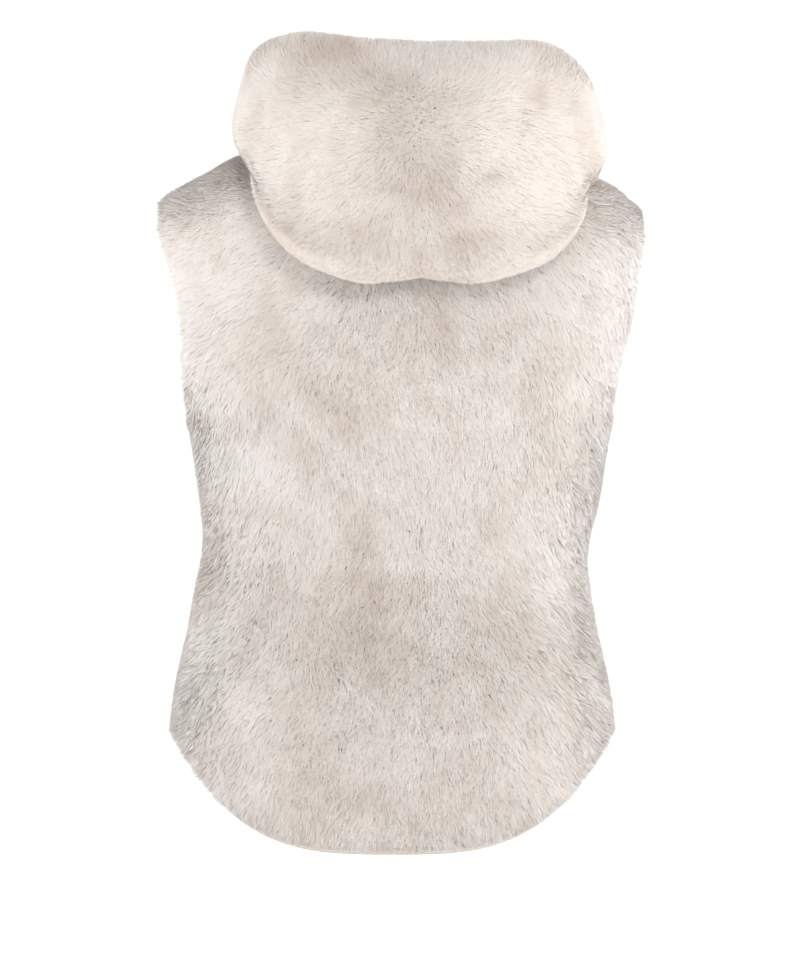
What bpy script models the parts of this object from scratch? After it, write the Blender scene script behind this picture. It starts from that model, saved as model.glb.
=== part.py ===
"""Hooded faux fur vest, filled out as if worn, with its hood down.

Units are metres and +Z is up. The wearer's front faces -Y and the wearer's left is +X.
The origin is on the centre plane, level with the inside of the shoulders by the neck.
Each wall is fur pile on its backing, and its outer face is where the hair tips end.
The body is made in drops from the shoulder ridge, and the hood in stations round the neck.
"""

import math
from collections import namedtuple

import bmesh
import bpy
from mathutils import Vector

# Walls
WALL = 0.014
NECK_WALL = 0.007
HOOD_UNDER_WALL = 0.008
HOOD_OUTER_WALL = 0.014
HOOD_RIM_WALL = 0.012
HOOD_LIP_WALL = 0.009
SEAM_GAP = 0.0003
NECK_TAPER = 0.030
ROUNDING = 0.35

# Shoulders, neckline and armholes, as shares of a section's half width
ROUNDNESS = 2.4
NECK_SHARE = 0.35
ARMHOLE_DEPTH = 0.42
TIP_SHARE = (1 - ARMHOLE_DEPTH**ROUNDNESS) ** (1 / ROUNDNESS)
TIP_HEIGHT = -0.047
UNDERARM = -0.235
ARMHOLE_WIDEST = 0.4
RIDGE_Y = 0.005
BACK_NECK_Y = 0.073
FRONT_NECK_Y = -0.1075
BACK_NECK_ROUNDNESS = 2.2
FRONT_NECK_ROUNDNESS = 2.8

# Hems and the front edges
SIDE_HEM = -0.509
BACK_HEM = -0.608
FRONT_HEM = -0.548
HEM_HALF_WIDTH = 0.195
HEM_SWEEP = 3.3
FRONT_GAP_TOP = 0.002
FRONT_GAP_HEM = 0.014
FRONT_CORNER = 0.030

# The outer size of the body at each height
Section = namedtuple("Section", "height half_width back front")
SECTIONS = [
    Section(0.040, 0.2255, 0.111, 0.090),
    Section(0.000, 0.2260, 0.118, 0.098),
    Section(-0.047, 0.2262, 0.126, 0.108),
    Section(-0.075, 0.2272, 0.131, 0.114),
    Section(-0.118, 0.2175, 0.136, 0.125),
    Section(-0.160, 0.2090, 0.139, 0.135),
    Section(-0.202, 0.2000, 0.140, 0.142),
    Section(-0.245, 0.1876, 0.134, 0.145),
    Section(-0.308, 0.1774, 0.122, 0.136),
    Section(-0.350, 0.1710, 0.116, 0.129),
    Section(-0.382, 0.1748, 0.118, 0.127),
    Section(-0.424, 0.1822, 0.127, 0.128),
    Section(-0.466, 0.1916, 0.138, 0.131),
    Section(-0.509, 0.1975, 0.145, 0.135),
    Section(-0.560, 0.1990, 0.147, 0.138),
    Section(-0.640, 0.2000, 0.145, 0.140),
]

# The shoulder ridge, and how deep the shoulder rolls off below it
Ridge = namedtuple("Ridge", "share height roll_back roll_front")
RIDGE = [
    Ridge(0.00, 0.0360, 0.090, 0.100),
    Ridge(0.35, 0.0155, 0.085, 0.092),
    Ridge(0.50, 0.0070, 0.078, 0.082),
    Ridge(0.65, -0.0050, 0.070, 0.072),
    Ridge(0.75, -0.0145, 0.064, 0.064),
    Ridge(0.83, -0.0245, 0.058, 0.058),
    Ridge(0.90, -0.0355, 0.053, 0.053),
    Ridge(0.95, -0.0475, 0.050, 0.050),
    Ridge(1.00, -0.0600, 0.048, 0.048),
]

# Columns of the body panels: turns round the neckline in degrees, from the centre
BACK_NECK_STEPS = [0, 18, 36, 54, 72, 90]
FRONT_NECK_STEPS = [0.5, 14, 28, 43, 58, 72, 82, 90]
SHOULDER_COLUMNS = 8
SPREAD_END = 0.35
ROLL_ROWS = [0.0, 0.004, 0.016, 0.036, 0.064, 0.10, 0.14, 0.18, 0.225, 0.27, 0.31]
UNDERARM_ROWS = [0.345, 0.372, 0.388, 0.398]
SIDE_ROWS = 13

# The hood at each turn round the neck, in degrees from the centre back to the shoulder.
# foot_share and foot_turn say where its under layer ends on the body: turn is 1 where the
# shoulder's roll ends. The outer layer's distances are from the neck's axis.
HoodRow = namedtuple(
    "HoodRow",
    "angle foot_share foot_turn fold bend bulge_r bulge_z upper_r upper_z rim_r rim_z",
)
HOOD = [
    HoodRow(0, 0.000, 1.290, 0.0240, 135, 0.198, -0.050, 0.193, 0.026, 0.165, 0.077),
    HoodRow(20, 0.220, 1.250, 0.0240, 135, 0.196, -0.050, 0.191, 0.026, 0.164, 0.078),
    HoodRow(40, 0.440, 1.020, 0.0215, 125, 0.189, -0.040, 0.182, 0.030, 0.158, 0.083),
    HoodRow(60, 0.545, 0.700, 0.0165, 95, 0.174, -0.009, 0.168, 0.035, 0.149, 0.079),
    HoodRow(78, 0.555, 0.260, 0.0125, 72, 0.160, 0.019, 0.156, 0.043, 0.140, 0.070),
    HoodRow(90, 0.545, 0.000, 0.0110, 66, 0.153, 0.025, 0.149, 0.043, 0.133, 0.062),
]
HOOD_NECK_ANGLE = 90
HOOD_END_ANGLE = 170

# The hood's size on the front, as a share of its size at the shoulder
FrontRow = namedtuple("FrontRow", "angle size")
HOOD_FRONT = [
    FrontRow(90, 1.00),
    FrontRow(108, 0.88),
    FrontRow(126, 0.70),
    FrontRow(146, 0.50),
    FrontRow(170, 0.34),
]
RIM_TURN = 0.008
LIP_DROP = 0.022
FOOT = 9
FOLD_END = 12
RIM = 16
HOOD_ROWS_PER_SPAN = [1, 1, 1, 1, 1, 1, 1, 1, 1, 1, 1, 1, 2, 3, 2, 1, 1, 1]

# The roll of the hood at the neck: reach out over the body, and height over its fur
Roll = namedtuple("Roll", "reach lift")
NECK_ROLL = [
    Roll(-0.0040, 0.0002),
    Roll(-0.0060, 0.0070),
    Roll(-0.0020, 0.0140),
    Roll(0.0070, 0.0170),
    Roll(0.0170, 0.0135),
    Roll(0.0270, 0.0090),
]

# Soft creases: a line from start to end on the panel, its half width and its height
Crease = namedtuple("Crease", "x_start z_start x_end z_end spread rise")
BACK_CREASES = [
    Crease(0.118, -0.205, 0.020, -0.300, 0.013, 0.0035),
    Crease(0.110, -0.178, 0.020, -0.270, 0.016, -0.0035),
    Crease(0.140, -0.352, 0.090, -0.349, 0.010, 0.0030),
    Crease(0.030, -0.362, -0.090, -0.358, 0.011, 0.0025),
    Crease(-0.140, -0.330, -0.085, -0.350, 0.011, 0.0025),
    Crease(0.035, -0.330, -0.080, -0.332, 0.014, -0.0025),
    Crease(0.028, -0.402, 0.020, -0.425, 0.009, -0.0020),
    Crease(0.060, -0.100, 0.100, -0.300, 0.020, -0.0025),
]
FRONT_CREASES = [
    Crease(0.150, -0.215, 0.070, -0.260, 0.014, 0.0030),
    Crease(0.150, -0.335, 0.080, -0.352, 0.012, 0.0030),
    Crease(0.140, -0.362, 0.070, -0.374, 0.012, -0.0025),
    Crease(0.060, -0.410, 0.050, -0.500, 0.018, -0.0025),
]
HOOD_CREASES = [
    Crease(0.075, -0.085, 0.020, -0.060, 0.011, -0.0030),
    Crease(-0.060, -0.090, -0.030, -0.055, 0.011, -0.0030),
    Crease(0.100, 0.062, 0.030, 0.052, 0.012, -0.0040),
    Crease(-0.100, 0.040, -0.080, 0.020, 0.012, -0.0025),
    Crease(0.020, -0.040, -0.045, -0.050, 0.013, 0.0030),
    Crease(-0.060, 0.010, -0.110, -0.030, 0.014, 0.0025),
]

# How the garment leans from true: the hips to the left, and the hood to the right. The left
# shoulder stands a little higher beside the hood, and the right one is lower.
HIP_SWAY = 0.005
UPPER_SWAY = -0.0015
HOOD_SWAY = -0.018
HOOD_SHEAR = 0.003
HOOD_TILT = 0.006
HIGH_SHOULDER = 0.005
LOW_SHOULDER = 0.015
LOW_SHOULDER_END = 0.008

FUR_COLOURS = {
    "back": (0.71, 0.65, 0.60, 1.0),
    "front_left": (0.72, 0.66, 0.61, 1.0),
    "front_right": (0.72, 0.66, 0.61, 1.0),
    "hood_left": (0.75, 0.70, 0.66, 1.0),
    "hood_right": (0.75, 0.70, 0.66, 1.0),
}
FUR_ROUGHNESS = 0.9


def ease(low, high, value):
    """0 below low, 1 above high and a smooth step between them."""
    share = min(max((value - low) / (high - low), 0.0), 1.0)
    return share * share * (3 - 2 * share)


def smooth_value(rows, key, column, value):
    """Reads a column of a table at a value of its key column, with a smooth curve."""
    keys = [getattr(row, key) for row in rows]
    heights = [getattr(row, column) for row in rows]
    if keys[0] > keys[-1]:
        keys.reverse()
        heights.reverse()
    value = min(max(value, keys[0]), keys[-1])
    span = 0
    while span < len(keys) - 2 and value > keys[span + 1]:
        span += 1
    slopes = []
    for place in (span, span + 1):
        before = max(place - 1, 0)
        after = min(place + 1, len(keys) - 1)
        slopes.append((heights[after] - heights[before]) / (keys[after] - keys[before]))
    width = keys[span + 1] - keys[span]
    t = (value - keys[span]) / width
    start = heights[span] * (1 + 2 * t) * (1 - t) ** 2
    end = heights[span + 1] * t * t * (3 - 2 * t)
    return start + end + width * t * (1 - t) * (slopes[0] * (1 - t) - slopes[1] * t)


def crease_height(creases, x, z):
    """The rise of all the creases at a place on a panel."""
    total = 0.0
    for crease in creases:
        along_x = crease.x_end - crease.x_start
        along_z = crease.z_end - crease.z_start
        length = math.hypot(along_x, along_z)
        along = ((x - crease.x_start) * along_x + (z - crease.z_start) * along_z) / length
        across = ((x - crease.x_start) * along_z - (z - crease.z_start) * along_x) / length
        past_end = max(-along, along - length, 0.0)
        total += crease.rise * math.exp(-(across**2 + past_end**2) / crease.spread**2)
    return total


def ridge_height(share):
    return smooth_value(RIDGE, "share", "height", abs(share))


def roll_depth(share, side):
    column = "roll_back" if side > 0 else "roll_front"
    return smooth_value(RIDGE, "share", column, abs(share))


def body_point(share, drop, side):
    """The outer face of the body, a drop below the ridge, at a share of its half width.

    side is 1 on the back and -1 on the front.
    """
    height = ridge_height(share) - drop
    half_width = smooth_value(SECTIONS, "height", "half_width", height)
    depth = smooth_value(SECTIONS, "height", "back" if side > 0 else "front", height)
    flat = max(1 - abs(share) ** ROUNDNESS, 0.0) ** (1 / ROUNDNESS)
    rolled = min(drop / roll_depth(share, side), 1.0)
    rolled = math.sqrt(1 - (1 - rolled) ** 2)
    y = RIDGE_Y + (side * depth - RIDGE_Y) * flat * rolled
    return Vector((half_width * share, y, height))


def turned_point(share, turn):
    """The outer face of the body by its turn over the shoulder: 0 on the ridge, 1 where
    the roll ends, and below zero on the front."""
    side = 1 if turn >= 0 else -1
    depth = roll_depth(share, side)
    angle = abs(turn) * math.pi / 2
    if abs(turn) < 1:
        drop = depth * (1 - math.cos(angle))
    else:
        drop = depth * (1 + angle - math.pi / 2)
    return body_point(share, drop, side)


def turn_of(share, drop, side):
    """The turn over the shoulder that belongs to a drop below the ridge."""
    depth = roll_depth(share, side)
    if drop < depth:
        angle = math.acos(1 - drop / depth)
    else:
        angle = math.pi / 2 + drop / depth - 1
    return side * angle / (math.pi / 2)


def body_slopes(share, turn):
    """How the body's outer face runs across and over the shoulder at a place on it."""
    step = 0.01
    across = turned_point(share + step, turn) - turned_point(share - step, turn)
    over = turned_point(share, turn + step) - turned_point(share, turn - step)
    return across / (2 * step), over / (2 * step)


def body_normal(share, turn):
    """The body's outward direction at a place on it."""
    across, over = body_slopes(share, turn)
    return across.cross(over).normalized()


def neck_place(degrees, side):
    """The neckline's share and drop, at a turn of 0 (centre) to 90 (shoulder)."""
    roundness = BACK_NECK_ROUNDNESS if side > 0 else FRONT_NECK_ROUNDNESS
    centre = BACK_NECK_Y if side > 0 else FRONT_NECK_Y
    angle = math.radians(degrees)
    share = NECK_SHARE * math.sin(angle) ** (2 / roundness)
    reach = abs(centre - RIDGE_Y) * max(math.cos(angle), 0.0) ** (2 / roundness)
    roll = roll_depth(share, side)
    drop = roll / 2
    for _ in range(12):
        rolled = math.sqrt(1 - (1 - drop / roll) ** 2)
        depth = abs(body_point(share, drop, side).y - RIDGE_Y) / rolled
        angle_over = math.asin(min(reach / depth, 0.999))
        drop = max(roll * (1 - math.cos(angle_over)), 1e-6)
    return share, drop if reach > 1e-6 else 0.0


def share_to_turn(share):
    return math.asin(min(abs(share) ** (ROUNDNESS / 2), 1.0))


def turn_to_share(angle):
    return math.sin(angle) ** (2 / ROUNDNESS)


def edge_angle(height):
    """Where the armhole's edge or the side seam cuts the section at a height."""
    level = (TIP_HEIGHT - height) / (TIP_HEIGHT - UNDERARM)
    if level >= 1:
        return math.pi / 2
    narrowing = max(level - ARMHOLE_WIDEST, 0.0) / (1 - ARMHOLE_WIDEST)
    depth = ARMHOLE_DEPTH * math.sqrt(1 - narrowing**2)
    return math.acos(depth ** (ROUNDNESS / 2))


def row_levels():
    """Shares of the drop from shoulder to hem, with one row just at the underarm."""
    underarm = (TIP_HEIGHT - UNDERARM) / (TIP_HEIGHT - SIDE_HEM)
    levels = ROLL_ROWS + UNDERARM_ROWS
    for row in range(SIDE_ROWS + 1):
        levels.append(underarm + (1 - underarm) * row / SIDE_ROWS)
    return levels, len(ROLL_ROWS) + len(UNDERARM_ROWS)


def back_hem(share):
    return BACK_HEM + (SIDE_HEM - BACK_HEM) * abs(share) ** HEM_SWEEP


def front_hem(share):
    """The front's hem, which runs level and turns up in a round corner at the opening."""
    low = FRONT_HEM + (SIDE_HEM - FRONT_HEM) * abs(share) ** HEM_SWEEP
    x = abs(share) * HEM_HALF_WIDTH
    rounding = max(1 - x / (2 * FRONT_CORNER), 0.0)
    return low + FRONT_CORNER * rounding**2


def top_shares(side):
    """The columns at the panel's top, as (share, drop), from the centre to the tip."""
    steps = BACK_NECK_STEPS if side > 0 else FRONT_NECK_STEPS
    columns = [neck_place(step, side) for step in steps]
    start = share_to_turn(NECK_SHARE)
    end = share_to_turn(TIP_SHARE)
    for column in range(1, SHOULDER_COLUMNS + 1):
        angle = start + (end - start) * column / SHOULDER_COLUMNS
        columns.append((turn_to_share(angle), 0.0))
    return columns


def half_panel(side):
    """Outer points of a panel's left half, in rows from the shoulder to the hem.

    Each point's outward direction comes with it, and so do the places of the seams.
    """
    hem = back_hem if side > 0 else front_hem
    tip = share_to_turn(TIP_SHARE)
    levels, underarm_row = row_levels()
    columns = top_shares(side)
    grid = []
    normals = []
    for level in levels:
        edge_level = TIP_HEIGHT - (TIP_HEIGHT - SIDE_HEM) * level
        spread = 1 - (1 - min(level / SPREAD_END, 1.0)) ** 2
        row = []
        directions = []
        for j, (top_share, top_drop) in enumerate(columns):
            column_share = share_to_turn(top_share) / tip
            column_share += (j / (len(columns) - 1) - column_share) * spread
            hem_share = turn_to_share(j / (len(columns) - 1) * math.pi / 2)
            lowest = ridge_height(top_share) - hem(hem_share)
            drop = top_drop + (lowest - top_drop) * level
            share = turn_to_share(column_share * edge_angle(edge_level))
            drop = max(drop + ridge_height(share) - ridge_height(top_share), 0.0)
            row.append(body_point(share, drop, side))
            directions.append(body_normal(share, turn_of(share, drop, side)))
        grid.append(row)
        normals.append(directions)
    last_row = len(levels) - 1
    last = len(columns) - 1
    neck_end = last - SHOULDER_COLUMNS
    seams = {}
    for column in range(neck_end, last + 1):
        seams[(0, column)] = (0, max(column - 1, neck_end)), (0, min(column + 1, last))
    for row in range(underarm_row, len(levels)):
        before = (max(row - 1, underarm_row), last)
        seams[(row, last)] = before, (min(row + 1, last_row), last)
    for (i, j), ((ai, aj), (bi, bj)) in seams.items():
        along = grid[bi][bj] - grid[ai][aj]
        normals[i][j] = Vector((-along.z, 0.0, along.x)).normalized()
    return grid, normals, seams, underarm_row


def panel_walls(side, hand):
    """Outer and inner points of half a panel: hand is 1 on the left and -1 on the right."""
    creases = BACK_CREASES if side > 0 else FRONT_CREASES
    grid, normals, seams, underarm_row = half_panel(side)
    last_row = len(grid) - 1
    last = len(grid[0]) - 1
    neckline = grid[0][: last - SHOULDER_COLUMNS + 1]
    outer = []
    inner = []
    for i, row in enumerate(grid):
        outer_row = []
        inner_row = []
        for j, point in enumerate(row):
            near_neck = min((point - other).length for other in neckline)
            thick = NECK_WALL + (WALL - NECK_WALL) * ease(0.0, NECK_TAPER, near_neck)
            inside = ease(0, 3, i) * ease(0, 2, last - j) * ease(0, 2, last_row - i)
            rise = inside * crease_height(creases, point.x * hand, point.z)
            face = point + normals[i][j] * rise
            back = face - normals[i][j] * thick
            if (i, j) in seams:
                shift = Vector((0, side * SEAM_GAP / 2, 0))
                face += shift
                back += shift
            if j == 0 and side < 0:
                down = ease(-0.06, FRONT_HEM, point.z)
                face.x = (FRONT_GAP_TOP + (FRONT_GAP_HEM - FRONT_GAP_TOP) * down) / 2
                back.x = face.x
            outer_row.append(face)
            inner_row.append(back)
        outer.append(outer_row)
        inner.append(inner_row)
    return handed(outer, hand), handed(inner, hand), underarm_row


def boundary(rows, columns):
    """The places round a grid's edge, in order."""
    loop = [(0, j) for j in range(columns - 1)]
    loop += [(i, columns - 1) for i in range(rows - 1)]
    loop += [(rows - 1, j) for j in range(columns - 1, 0, -1)]
    loop += [(i, 0) for i in range(rows - 1, 0, -1)]
    return loop


def lean(point):
    """Moves a point of the true garment to where this one hangs."""
    x, y, z = point
    hips = UPPER_SWAY + (HIP_SWAY - UPPER_SWAY) * ease(0.30, 0.39, -z)
    high = ease(-0.21, -0.12, z) * ease(-0.11, 0.03, y)
    hood = HOOD_SWAY * high * (1 - ease(0.165, 0.222, abs(x)))
    shear = HOOD_SHEAR * ease(0.09, 0.14, x) * ease(-0.035, 0.0, -z) * high
    level = ease(-0.20, -0.06, z)
    raised = HIGH_SHOULDER * ease(0.12, 0.155, x) * (1 - ease(0.165, 0.19, x)) * level
    lowered = LOW_SHOULDER * ease(0.06, 0.165, -x) - LOW_SHOULDER_END * ease(0.19, 0.215, -x)
    lowered *= level * (1 - 0.6 * ease(0.005, 0.05, z))
    sides = min(max(x / 0.09, 0.0), 1.0) - ease(0.105, 0.150, -x)
    tilt = HOOD_TILT * sides * ease(0.02, 0.07, z)
    return Vector((x + hips + hood + shear, y, z + raised - lowered + tilt))


def make_solid(name, outer, inner, rounded):
    """A closed wall between two grids, with a round rim where its edge is free."""
    rows = len(outer)
    columns = len(outer[0])
    mesh = bpy.data.meshes.new(name)
    bm = bmesh.new()
    outer_verts = [[bm.verts.new(lean(point)) for point in row] for row in outer]
    inner_verts = [[bm.verts.new(lean(point)) for point in row] for row in inner]
    for i in range(rows - 1):
        for j in range(columns - 1):
            for verts in (outer_verts, inner_verts):
                bm.faces.new((verts[i][j], verts[i + 1][j], verts[i + 1][j + 1], verts[i][j + 1]))
    loop = boundary(rows, columns)
    middle = []
    for i, j in loop:
        near_i = min(max(i, 1), rows - 2)
        near_j = min(max(j, 1), columns - 2)
        face = outer[i][j]
        back = inner[i][j]
        away = (face + back - outer[near_i][near_j] - inner[near_i][near_j]).normalized()
        out = away * rounded(i, j) * (face - back).length
        middle.append(bm.verts.new(lean((face + back) / 2 + out)))
    for place, (i, j) in enumerate(loop):
        after = (place + 1) % len(loop)
        next_i, next_j = loop[after]
        rim = (middle[place], middle[after])
        bm.faces.new((outer_verts[i][j], outer_verts[next_i][next_j], rim[1], rim[0]))
        bm.faces.new((rim[0], rim[1], inner_verts[next_i][next_j], inner_verts[i][j]))
    bmesh.ops.recalc_face_normals(bm, faces=bm.faces)
    bmesh.ops.triangulate(bm, faces=bm.faces, quad_method="SHORT_EDGE")
    bm.to_mesh(mesh)
    bm.free()
    mesh.shade_smooth()
    solid = bpy.data.objects.new(name, mesh)
    bpy.context.scene.collection.objects.link(solid)
    solid.data.materials.append(fur_material(name))
    return solid


def fur_material(name):
    material = bpy.data.materials.new(name + "_fur")
    material.use_nodes = True
    shader = material.node_tree.nodes["Principled BSDF"]
    shader.inputs["Base Color"].default_value = FUR_COLOURS[name]
    shader.inputs["Roughness"].default_value = FUR_ROUGHNESS
    shader.inputs["Metallic"].default_value = 0.0
    return material


def handed(grid, hand):
    return [[Vector((point.x * hand, point.y, point.z)) for point in row] for row in grid]


def free_edge(distance):
    """The share of a full rounding, at a distance in points from a seam's end."""
    return ROUNDING * ease(0, 2, distance)


def build_back():
    outer, inner, underarm_row = panel_walls(1, 1)
    right_outer, right_inner, _ = panel_walls(1, -1)
    full_outer = [right[:0:-1] + left for left, right in zip(outer, right_outer)]
    full_inner = [right[:0:-1] + left for left, right in zip(inner, right_inner)]
    last_row = len(full_outer) - 1
    last_column = len(full_outer[0]) - 1

    def rounded(i, j):
        if i == last_row:
            return free_edge(min(j, last_column - j))
        if j in (0, last_column) and 0 < i < underarm_row:
            return free_edge(min(i, underarm_row - i))
        return 0.0

    make_solid("back", full_outer, full_inner, rounded)
    return outer[0], inner[0]


def build_front(name, hand):
    outer, inner, underarm_row = panel_walls(-1, hand)
    last_row = len(outer) - 1
    last_column = len(outer[0]) - 1

    def rounded(i, j):
        if i == last_row and j < last_column:
            return free_edge(last_column - j)
        if j == last_column and 0 < i < underarm_row:
            return free_edge(min(i, underarm_row - i))
        return 0.0

    make_solid(name, outer, inner, rounded)
    return outer[0], inner[0]


def spline(points, counts):
    """A smooth curve through points, with a count of steps for each span."""
    ends = [points[0] * 2 - points[1]] + list(points) + [points[-1] * 2 - points[-2]]
    curve = [points[0].copy()]
    for span, count in enumerate(counts):
        a, b, c, d = ends[span : span + 4]
        knots = [0.0]
        for start, end in ((a, b), (b, c), (c, d)):
            knots.append(knots[-1] + max((end - start).length, 0.0005) ** 0.5)
        for step in range(1, count + 1):
            t = knots[1] + (knots[2] - knots[1]) * step / count
            curve.append(curve_point((a, b, c, d), knots, t))
    return curve


def curve_point(points, knots, t):
    """One point of a curve that passes through the middle two of four points."""
    level = list(points)
    for order, spans in ((1, 3), (2, 2)):
        level = [
            between(level[k], level[k + 1], knots[k], knots[k + order], t)
            for k in range(spans)
        ]
    return between(level[0], level[1], knots[1], knots[2], t)


def between(start, end, start_knot, end_knot, t):
    return start.lerp(end, (t - start_knot) / (end_knot - start_knot))


def hood_stations(back_edge, front_edge):
    """Places along the neckline, from the centre back to the opening.

    Each has its share and turn on the body, and the body's outer and inner edge there.
    """
    stations = []
    runs = ((1, back_edge, BACK_NECK_STEPS), (-1, front_edge, FRONT_NECK_STEPS))
    for side, (outer, inner), steps in runs:
        order = list(range(len(steps)))[::side]
        for place, column in enumerate(order):
            last = place == len(order) - 1
            following = order[min(place + 1, len(order) - 1)]
            parts = 0 if last and side > 0 else 2 if side > 0 else 1
            for part in range(parts):
                t = part / parts
                share, drop = neck_place(steps[column] * (1 - t) + steps[following] * t, side)
                edge = outer[column].lerp(outer[following], t)
                under = inner[column].lerp(inner[following], t)
                stations.append((share, turn_of(share, drop, side), edge, under))
    return stations


def outward_from_neck(stations, k):
    """The direction over the body, square to the neckline, at a station."""
    if k in (0, len(stations) - 1):
        along = Vector((1 if k == 0 else -1, 0, 0))
    else:
        along = stations[k + 1][2] - stations[k - 1][2]
    edge, under = stations[k][2:]
    return (edge - under).cross(along).normalized()


def hood_path(angle, station, outward):
    """The middle of the hood's wall, from the neck seam to its turned edge."""
    share, turn, edge, under = station
    at = min(angle, HOOD_NECK_ANGLE)
    row = {column: smooth_value(HOOD, "angle", column, at) for column in HoodRow._fields}
    seam_normal = (edge - under).normalized()
    size = 1.0
    if angle > HOOD_NECK_ANGLE:
        size = smooth_value(HOOD_FRONT, "angle", "size", angle)
    if angle <= HOOD_NECK_ANGLE:
        foot = Vector((row["foot_share"], row["foot_turn"]))
    else:
        foot = front_foot(share, turn, outward, size)
    start = Vector((share, turn))
    reach = (turned_point(*foot) - edge).length

    def over_body(distance, lift):
        """A point at a distance out from the neckline and a height over the body."""
        place = start.lerp(foot, max(distance, 0.0) / reach)
        bent = turned_point(*place) + body_normal(*place) * lift
        straight = edge + outward * distance + seam_normal * lift
        return straight.lerp(bent, ease(0.002, 0.030 * size, distance))

    path = [(edge + under) / 2 - outward * SEAM_GAP]
    for roll in NECK_ROLL:
        path.append(over_body(roll.reach * size, roll.lift * size))
    clear = 0.002 + HOOD_UNDER_WALL * size / 2
    roll_end = NECK_ROLL[-1].reach * size
    for t in (0.3, 0.65, 1.0):
        path.append(over_body(roll_end + (reach - roll_end) * t, clear + 0.001 * t))
    normal = body_normal(*foot)
    tangent = path[-1] - path[-2]
    tangent = (tangent - normal * tangent.dot(normal)).normalized()
    fold = row["fold"] * size
    for step in (0.37, 0.7, 1.0):
        bend = math.radians(row["bend"] * step)
        out = tangent * fold * math.sin(bend)
        path.append(path[FOOT] + out + normal * fold * (1 - math.cos(bend)))
    heading = math.radians(angle)
    away = Vector((math.sin(heading), math.cos(heading), 0))
    up = Vector((0, 0, 1))
    centre = Vector((0, 0, 0))
    if angle > HOOD_NECK_ANGLE:
        away, up, centre = front_frame(edge, outward, seam_normal, normal, size)
    outer_layer = [
        (row["bulge_r"], row["bulge_z"]),
        (row["upper_r"], row["upper_z"]),
        (row["rim_r"] + RIM_TURN, row["rim_z"] - RIM_TURN),
        (row["rim_r"], row["rim_z"]),
        (row["rim_r"] - RIM_TURN, row["rim_z"] - RIM_TURN),
        (row["rim_r"] - RIM_TURN * 1.2, row["rim_z"] - LIP_DROP),
    ]
    for distance, height in outer_layer:
        path.append(centre + away * distance + up * height)
    return path


def front_foot(share, turn, outward, size):
    """Where the under layer ends on the front, as a share and a turn."""
    across, over = body_slopes(share, turn)
    full = HOOD[-1].foot_share - NECK_SHARE
    reach = full * SECTIONS[0].half_width * size
    normal = across.cross(over)
    by_share = outward.dot(over.cross(normal)) / across.dot(over.cross(normal))
    by_turn = outward.dot(across.cross(normal)) / over.dot(across.cross(normal))
    return Vector((share + by_share * reach, turn + by_turn * reach))


def front_frame(edge, outward, seam_normal, foot_normal, size):
    """Axes and centre that carry the shoulder's section, made smaller, to the front."""
    shoulder = Vector((NECK_SHARE * SECTIONS[0].half_width, RIDGE[1].height))
    step = HOOD[-1].foot_share - NECK_SHARE
    drop = ridge_height(NECK_SHARE) - ridge_height(NECK_SHARE + step)
    slope = math.atan2(drop, step * SECTIONS[0].half_width)
    lifted = (seam_normal + foot_normal).normalized()
    flat = (outward - lifted * outward.dot(lifted)).normalized()
    away = (flat * math.cos(slope) + lifted * math.sin(slope)) * size
    up = (lifted * math.cos(slope) - flat * math.sin(slope)) * size
    centre = edge - away * shoulder.x - up * shoulder.y
    return away, up, centre


def hood_wall(mark, spans):
    """The hood's thickness along its path, thinner where it is pressed or turned."""
    marks = [0, 3, FOOT, FOLD_END, RIM - 2, RIM, spans]
    walls = [
        NECK_WALL,
        HOOD_UNDER_WALL,
        HOOD_UNDER_WALL,
        HOOD_OUTER_WALL,
        HOOD_OUTER_WALL,
        HOOD_RIM_WALL,
        HOOD_LIP_WALL,
    ]
    k = 0
    while k < len(marks) - 2 and mark > marks[k + 1]:
        k += 1
    t = (mark - marks[k]) / (marks[k + 1] - marks[k])
    return walls[k] + (walls[k + 1] - walls[k]) * t


def hood_angle(k, neck_places, last):
    """The turn round the neck at a station."""
    if k <= neck_places:
        return HOOD_NECK_ANGLE * k / neck_places
    t = (k - neck_places) / (last - neck_places)
    return HOOD_NECK_ANGLE + (HOOD_END_ANGLE - HOOD_NECK_ANGLE) * t


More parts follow.
